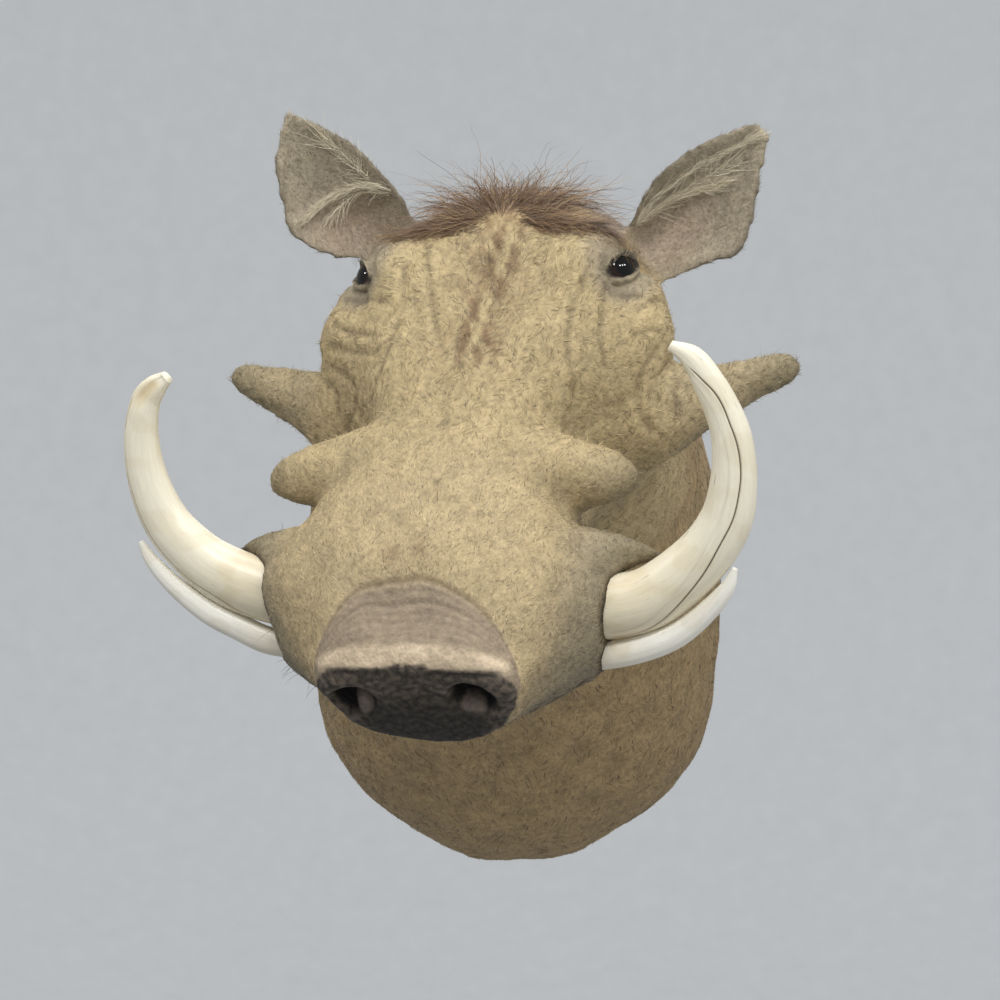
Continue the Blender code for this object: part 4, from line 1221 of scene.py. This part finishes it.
def fringe(ground, rng):
    """Shorter hair of the mane's front edge, combed from the parting over both sides of the brow."""
    count = STRANDS["fringe"]
    behind, across, up = head_place(ground.points)
    beside = np.abs(across - 4)
    density = hump(behind, 340 - 0.12 * beside, 8) * ramp(beside, 6, 26)
    density *= (1 - ramp(beside, 58, 76)) * (up > 60)
    roots, normals, _ = ground.sow(rng, count, density)
    side = np.sign(head_place(roots)[1] - 4)[:, None]
    ways = flat_to(side * ACROSS + 0.25 * AHEAD, normals) + 0.3 * normals
    ways = unit(ways + (0.5 * ripple(roots, 14, 53))[:, None] * AHEAD + rng.normal(size=ways.shape) * 0.16)
    bends = np.array((0, 0, -0.3)) + rng.normal(size=ways.shape) * 0.12
    sizes = rng.uniform(14, 30, count) * MM
    colours = np.array(MANE_COLOURS)[rng.integers(0, 4, count)] * rng.uniform(0.7, 1.35, (count, 1))
    widths = rng.uniform(0.3, 0.5, count) * MM
    strands("mane_fringe", roots, ways, bends, normals, sizes, widths, colours, 6, 2.0)


def mane_hair(ground, seed=51):
    """Long reddish wavy strands that part along the crest and fall to both sides."""
    rng = np.random.default_rng(seed)
    count = STRANDS["mane"]
    crest = line_distance(ground.points, along(MANE_CREST, 30))
    density = (1 - ramp(crest, 34, 50)) * (0.35 + hump(crest, 0, 24)) * (ground.points[:, 1] < -20 * MM)
    density *= ramp(head_place(ground.points)[0], 336, 346)
    roots, normals, _ = ground.sow(rng, count, density)
    line = along(MANE_CREST, 60)
    offset = (roots[:, 0] - np.interp(roots[:, 1], line[:, 1], line[:, 0])) / MM
    back = np.interp(roots[:, 1], line[:, 1], np.linspace(0, 1, len(line)))
    rise, length = through(MANE_SPREAD, np.abs(offset)).T
    brow = 1 - ramp(back, 0.15, 0.5)
    rise = np.radians(rise - 4 * brow + 26 * ripple(roots, 12, seed) + rng.normal(size=count) * 12)
    side = np.tanh(offset / 5) * np.cos(rise)
    lay = MANE_LAY[0] * (1 - back) + MANE_LAY[1] * back
    lay = lay + 0.4 * ripple(roots, 13, seed + 1) + rng.normal(size=count) * 0.2
    ways = unit(np.column_stack([side, lay, np.sin(rise)]))
    bends = np.outer(MANE_DROOP + 0.1 * brow, (0, 0, -1)) + rng.normal(size=ways.shape) * 0.22
    sizes = length * MM * rng.uniform(0.65, 1.15, count) * np.where(rng.uniform(size=count) < 0.04, 1.2, 1)
    colours = np.array(MANE_COLOURS)[rng.integers(0, 4, count)] * rng.uniform(0.7, 1.35, (count, 1))
    facing = unit(np.array((0, -0.6, 0.8)) + rng.normal(size=ways.shape) * 0.5)
    fringe(ground, rng)
    widths = rng.uniform(0.32, 0.55, count) * MM
    strands("mane_hair", roots, ways, bends, facing, sizes, widths, colours, 8, 3.8)


EAR_CREAM = srgb("#DCD1B6")
# Long pale hair of each ear: line along which it lies (share, mm towards the cheek), number of strands,
# their length in mm, how far they stray, and their curl towards the tip of the ear
EAR_TUFTS = {
    1: (
        (((0.10, -12), (0.27, -15), (0.55, -12), (0.81, -3), (0.9, 0)), 260, 15, 0.16, -0.05),
        (((0.12, -10), (0.26, -9), (0.37, -7), (0.48, -1), (0.54, 4), (0.62, 8)), 480, 13, 0.1, -0.03),
        (((0.2, -10), (0.5, -4), (0.75, 4)), 110, 22, 0.5, 0.1),
    ),
    -1: (
        (((0.28, -34), (0.36, -26), (0.42, -16), (0.45, -2), (0.45, 12), (0.43, 24)), 900, 13, 0.08, -0.05),
        (((0.30, -30), (0.38, -20), (0.40, -4), (0.36, 12)), 120, 17, 0.3, -0.35),
        (((0.40, -26), (0.6, -20), (0.75, -14)), 120, 20, 0.5, 0.2),
    ),
}


def ear_hair(ground, side, name, seed):
    """Fine short hair over the ear's blade, and long pale tufts along the ridge in its hollow."""
    rng = np.random.default_rng(seed)
    count = STRANDS["ear"]
    roots, normals, colours = ground.sow(rng, count, on_ear(ground.points, side))
    axis, _, face = ear_frame(side)
    ways = unit(flat_to(axis + 0 * normals, normals) + 1e-6)
    ways = unit(ways + rng.normal(size=ways.shape) * 0.3 + normals * rng.uniform(0.04, 0.2, (count, 1)))
    bends = rng.normal(size=ways.shape) * 0.2
    sizes = rng.uniform(2.5, 5, count) * MM
    widths = rng.uniform(0.2, 0.3, count) * MM
    colours = colours * np.clip(1.05 + rng.normal(size=count) * 0.2, 0.5, 1.7)[:, None]
    facing = unit(normals + rng.normal(size=ways.shape) * 0.5)
    strands(name, roots, ways, bends, facing, sizes, widths, colours, 1)
    for index, (line, count, length, stray, curl) in enumerate(EAR_TUFTS[side]):
        share, cheekward = along(line, count).T
        laid = ear_point(side, share, cheekward)
        ways = unit(np.gradient(laid, axis=0))
        stray_by = rng.normal(size=(count, 2)) * (0.009, 1.1)
        roots = ear_point(side, share + stray_by[:, 0], cheekward + stray_by[:, 1]) + face * 2.2 * MM
        ways = unit(ways + face * 0.12 + rng.normal(size=(count, 3)) * stray)
        bends = axis * curl + rng.normal(size=(count, 3)) * 0.1
        sizes = length * MM * rng.uniform(0.5, 1.15, count)
        colours = EAR_CREAM * np.clip(1 + rng.normal(size=(count, 1)) * 0.16, 0.5, 1.5)
        facing = unit(face + rng.normal(size=(count, 3)) * 0.5)
        widths = rng.uniform(0.2, 0.36, count) * MM
        tuft = f"{name}_tuft_{index}"
        strands(tuft, roots, ways, bends, facing, sizes, widths, colours, 5, 0.8, (0.8, 1.1))


def lashes(side, name, seed):
    """Dark lashes along the upper lid."""
    rng = np.random.default_rng(seed)
    count = STRANDS["lashes"]
    turn = rng.uniform(math.radians(15), math.radians(165), count)
    frame_of = eye_frame(side)
    high = frame_of[1]
    aside, above = 1.25 * LID_OPENING[0] * np.cos(turn), 1.25 * LID_OPENING[1] * np.sin(turn)
    out = np.sqrt((LID_OUTSIDE + 1.5) ** 2 - aside**2 - above**2)
    roots = EYE_PLACE[side] + np.column_stack([aside, above, out]) @ frame_of * MM
    lean = np.column_stack([0.5 * np.cos(turn), 0.25 * np.sin(turn), np.full(count, 0.8)])
    ways = unit(lean @ frame_of + rng.normal(size=(count, 3)) * 0.12)
    bends = high * 0.3 - np.array((0, 0, 0.1)) + rng.normal(size=(count, 3)) * 0.05
    colours = np.tile(srgb("#2A211A"), (count, 1))
    sizes = rng.uniform(4, 7, count) * MM
    strands(name, roots, ways, bends, high + 0 * ways, sizes, np.full(count, 0.34 * MM), colours, 4)


def whiskers(ground, seed=91):
    """Single stiff hairs of lips, chin and brow."""
    rng = np.random.default_rng(seed)
    count = STRANDS["whiskers"]
    behind, across, up = head_place(ground.points)
    density = ground.coat["head"] * (ramp(-up, 10, 45) * (1 - ramp(behind, 100, 150)) + 0.06 * (behind < 200))
    roots, normals, colours = ground.sow(rng, count, density)
    ways = unit(normals + 0.9 * coat_way(roots, normals) + rng.normal(size=normals.shape) * 0.35)
    bends = np.array((0, 0, -0.25)) + rng.normal(size=ways.shape) * 0.12
    shade = np.where(rng.uniform(size=(count, 1)) < 0.5, 0.45, 1.25)
    sizes = rng.uniform(7, 15, count) * MM
    strands("whiskers", roots, ways, bends, normals, sizes, np.full(count, 0.26 * MM), colours * shade, 3)


IVORY_CREAM = srgb("#F4EDD6")
IVORY_WHITE = srgb("#F5F2E6")
IVORY_STAIN = srgb("#C8AE78")
IVORY_CRACK = srgb("#3E342A")
# Where the long crack runs on each upper tusk: share of its length and angle round it
CRACKS = {
    1: (
        (0.0, 0.5), (0.090, 0.51), (0.170, 0.61), (0.216, 0.81), (0.276, 1.06), (0.358, 1.33), (0.444, 1.24),
        (0.511, 1.15), (0.554, 1.15), (0.659, 1.29), (0.774, 1.35), (0.897, 2.15), (1.0, 2.3),
    ),
    -1: (
        (0.0, 2.5), (0.073, 2.51), (0.118, 2.41), (0.226, 2.16), (0.341, 2.26), (0.449, 2.24), (0.541, 2.27),
        (0.672, 2.41), (0.772, 2.49), (1.0, 2.5),
    ),
}
CRACK_ENDS = {1: (0.08, 0.9), -1: (0.07, 0.8)}
# Worn facet near the broken tip of the right tusk: angle round it, half its width, where it starts
BEVEL = (1.85, 0.6, 0.74)


def tusk(name, node, rows, crack, ends, depth, bevel, cream, seed):
    """A canine with a long crack and groove, a stained root and, on one, a worn tip."""
    sides, rings = 72, 120
    share = np.linspace(0, 1, rings)[:, None]
    spread = np.linspace(-1, 1, sides, endpoint=False)[None]
    spread = math.pi * power(spread, 2 / 1.7)
    turns = through(crack, share[:, 0]) + spread
    line = [head(*row[:3]) for row in rows]
    radii = np.array([row[3] for row in rows])
    made = np.array(cone_rings(line, radii * MM, TUSK_FLAT, TUSK_NORMAL, turns))
    middle = along(line, rings)[:, None]
    radius = along([(r,) for r in radii], rings)
    across = spread * radius
    running = ramp(share, ends[0], ends[0] + 0.04) * (1 - ramp(share, ends[1] - 0.05, ends[1]))
    sunk = running * depth * (hump(across, 0, 0.5) + 0.3 * hump(across, 3, 2.6) + 0.12 * hump(across, 7, 0.8))
    sunk = sunk + 0.07 * np.sin(turns * 9 + seed) + 0.04 * np.sin(turns * 17 + 2 * seed)
    if bevel:
        turned = np.angle(np.exp(1j * (turns - bevel[0])))
        worn = ramp(share, bevel[2], bevel[2] + 0.1) * hump(turned, 0, bevel[1])
        sunk = sunk + 0.3 * radius * worn
    shape = 1 - sunk / radius
    shape = np.where(share > (0.99 if bevel else 0.97), 1, shape)
    made = middle + (made - middle) * shape[:, :, None]
    obj = loft(name, list(made))
    obj.data.shade_smooth()
    length = np.linalg.norm(np.diff(middle[:, 0], axis=0), axis=1).sum()
    grain = np.zeros((rings, sides, 3))
    grain[..., 0] = np.cos(turns) * 14 * MM
    grain[..., 1] = np.sin(turns) * 14 * MM
    grain[..., 2] = share * length * 0.12
    layer = obj.data.attributes.new("grain", "FLOAT_VECTOR", "POINT")
    layer.data.foreach_set("vector", grain.reshape(-1).astype(np.float32))
    points = vertex_array(obj.data)
    blotch = ripple(points, 26, seed).reshape(rings, sides)
    stained = 0.3 * (1 - ramp(share, 0.12, 0.4)) + 0.14 * ramp(blotch, 0.1, 0.6)
    stained = stained + 0.15 * running * hump(across, 0, 2)
    if bevel:
        stained = stained + 0.55 * worn * ramp(blotch, -0.6, 0.4)
    stained = np.clip(stained, 0, 0.85)[..., None]
    colour = cream * (1 - stained) + IVORY_STAIN * stained
    dark = running * (hump(across, 0, 0.42) + 0.15 * hump(across, 7, 0.6)) * min(depth, 1)
    dark = np.clip(dark, 0, 0.9)[..., None]
    colour = colour * (1 - dark) + IVORY_CRACK * dark
    tint(obj.data, colour.reshape(-1, 3))
    finish_piece(obj, IVORY)
    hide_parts(node)


def glass_eye(side, name, node):
    """A polished dome over a near-black iris and pupil."""
    wide, high, forward = eye_frame(side)
    turn = oval(48)[:, None]
    rings, colours = [], []
    for angle in np.linspace(math.radians(-11), math.radians(89), 28):
        ring = math.cos(angle) * (np.cos(turn) * wide + np.sin(turn) * high) + math.sin(angle) * forward
        rings.append(EYE_PLACE[side] + EYE_RADIUS * ring)
        pupil = ramp(angle, math.radians(58), math.radians(62))
        colour = srgb("#24150D") * (1 - pupil) + srgb("#040303") * pupil
        colours.append(np.tile(colour, (48, 1)))
    obj = loft(name, rings)
    obj.data.shade_smooth()
    tint(obj.data, np.concatenate(colours))
    finish_piece(obj, GLASS)
    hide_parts(node)


def dress_cad():
    """Finishes for the board, hanger and screws, which stay as the CAD made them."""
    plywood, zinc = birch_plywood(), zinc_plate()
    finishes = {
        "back_board": plywood,
        "wall_hanger": zinc,
        "hanger_screw_left": zinc,
        "hanger_screw_right": zinc,
    }
    for node, material in finishes.items():
        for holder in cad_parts[node].material_slots:
            holder.material = material


# Small lamps that the glass eyes show as highlights
EYE_LIGHTS = (
    (0.95, -1.75, 1.35), (1.35, -1.5, 1.45), (1.7, -1.15, 1.5), (-2.0, -0.7, 1.3), (-1.8, -1.1, 1.45)
)
CAMERA_PLACE = (-0.018, -1.7, 0.051)  # level, as far from the wall as the photograph's perspective asks


def studio():
    """Pale round cove, soft lights and the camera of the photograph."""
    profile = [(0.02, -1.4), (3.6, -1.4)]
    for turn in np.linspace(0, math.pi / 2, 14)[1:]:
        profile.append((3.6 + 1.6 * math.sin(turn), 0.2 - 1.6 * math.cos(turn)))
    profile.append((5.2, 6.0))
    turn = oval(96)
    cove = loft("cove", [
        np.column_stack([r * np.cos(turn), r * np.sin(turn) - 0.3, np.full(96, z)]) for r, z in profile
    ])
    with edited(cove.data) as bm:
        top = [face for face in bm.faces if len(face.verts) > 4 and face.calc_center_median().z > 5]
        bmesh.ops.delete(bm, geom=top, context="FACES")
    cove.data.shade_smooth()
    material, tree, shader = surface("studio_paper", Roughness=0.9)
    place = add(tree, "ShaderNodeTexCoord").outputs["Object"]
    fibre = add(tree, "ShaderNodeTexNoise", {"Vector": place, "Scale": per(60), "Detail": 3.0})
    tone = add(tree, "ShaderNodeValToRGB", {"Fac": fibre.outputs["Fac"]})
    tone.color_ramp.elements[0].color = (*srgb("#C6C9CB"), 1)
    tone.color_ramp.elements[1].color = (*srgb("#CFD2D4"), 1)
    tree.links.new(tone.outputs["Color"], shader.inputs["Base Color"])
    tree.links.new(tone.outputs["Color"], shader.inputs["Emission Color"])
    shader.inputs["Emission Strength"].default_value = 0.35
    cove.data.materials.append(material)
    cove.visible_diffuse = cove.visible_glossy = cove.visible_shadow = False

    target = Vector((-0.02, -0.35, 0.0))
    lamps = (
        ("key_left", (-1.0, -2.1, 1.7), 9.6, 0.38),
        ("key_middle", (-0.5, -2.2, 1.9), 10.6, 0.38),
        ("key_right", (0.0, -2.2, 1.9), 10.6, 0.38),
        ("fill", (1.2, -2.1, 0.1), 9, 1.2),
        *((f"catchlight_{i}", place, 4, 0.16) for i, place in enumerate(EYE_LIGHTS, 1)),
        ("top", (0.1, -0.5, 2.2), 14, 1.0),
        ("rear", (0.4, 1.5, 1.3), 12, 1.2),
    )
    for name, place, watts, size in lamps:  # power in W, width in m
        lamp = bpy.data.objects.new(name, bpy.data.lights.new(name, "AREA"))
        lamp.data.energy = watts
        lamp.data.size = size
        lamp.visible_glossy = name != "fill"  # its broad reflection would grey the eyes
        lamp.location = place
        lamp.rotation_euler = (target - lamp.location).to_track_quat("-Z", "Y").to_euler()
        bpy.context.scene.collection.objects.link(lamp)
    world = bpy.data.worlds.new("daylight")
    world.use_nodes = True
    sky = world.node_tree.nodes["Background"]
    sky.inputs["Color"].default_value = (*srgb("#F2F4F6"), 1)
    sky.inputs["Strength"].default_value = 0.38
    bpy.context.scene.world = world
    bpy.context.scene.view_settings.view_transform = "Standard"

    camera = bpy.data.objects.new("camera", bpy.data.cameras.new("camera"))
    camera.data.sensor_width = 36
    camera.data.lens = 72
    camera.location = CAMERA_PLACE
    camera.rotation_euler = (math.radians(90), 0, 0)
    bpy.context.scene.collection.objects.link(camera)
    bpy.context.scene.camera = camera


studio()
skin = finish_piece(make_skin(), HIDE)
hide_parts("hide")
ground = Ground(skin)
tint(skin.data, ground.colour)

muzzle_share = 1 - ramp(head_place(ground.points)[0], 140, 170)
coat = ground.coat["head"]
short_coat(
    ground, "coat_muzzle", STRANDS["muzzle"], coat * muzzle_share, length=2.6, width=0.4, curl=0.6,
    dark_share=0.03, steps=2, seed=101,
)
short_coat(
    ground, "coat_face", STRANDS["face"], coat * (1 - muzzle_share), length=4.2, width=0.36, curl=1.2,
    dark_share=0.3, steps=3, seed=102,
)
neck_coat(ground)
mane_hair(ground)
whiskers(ground)
for side, word in ((1, "left"), (-1, "right")):
    ear_hair(ground, side, f"ear_hair_{word}", 60 + side)
    lashes(side, f"lashes_{word}", 70 + side)
    tusk(
        f"ivory_upper_{word}", f"upper_tusk_{word}", UPPER_TUSKS[side], CRACKS[side], CRACK_ENDS[side], 1.3,
        BEVEL if side < 0 else None, IVORY_CREAM, 3 + side,
    )
    tusk(
        f"ivory_lower_{word}", f"lower_tusk_{word}", LOWER_TUSKS[side], ((0, 4.7), (1, 4.7)), (0.2, 0.9), 0.3,
        None, IVORY_WHITE, 7 + side,
    )
    glass_eye(side, f"eye_{word}", f"glass_eye_{word}")
dress_cad()
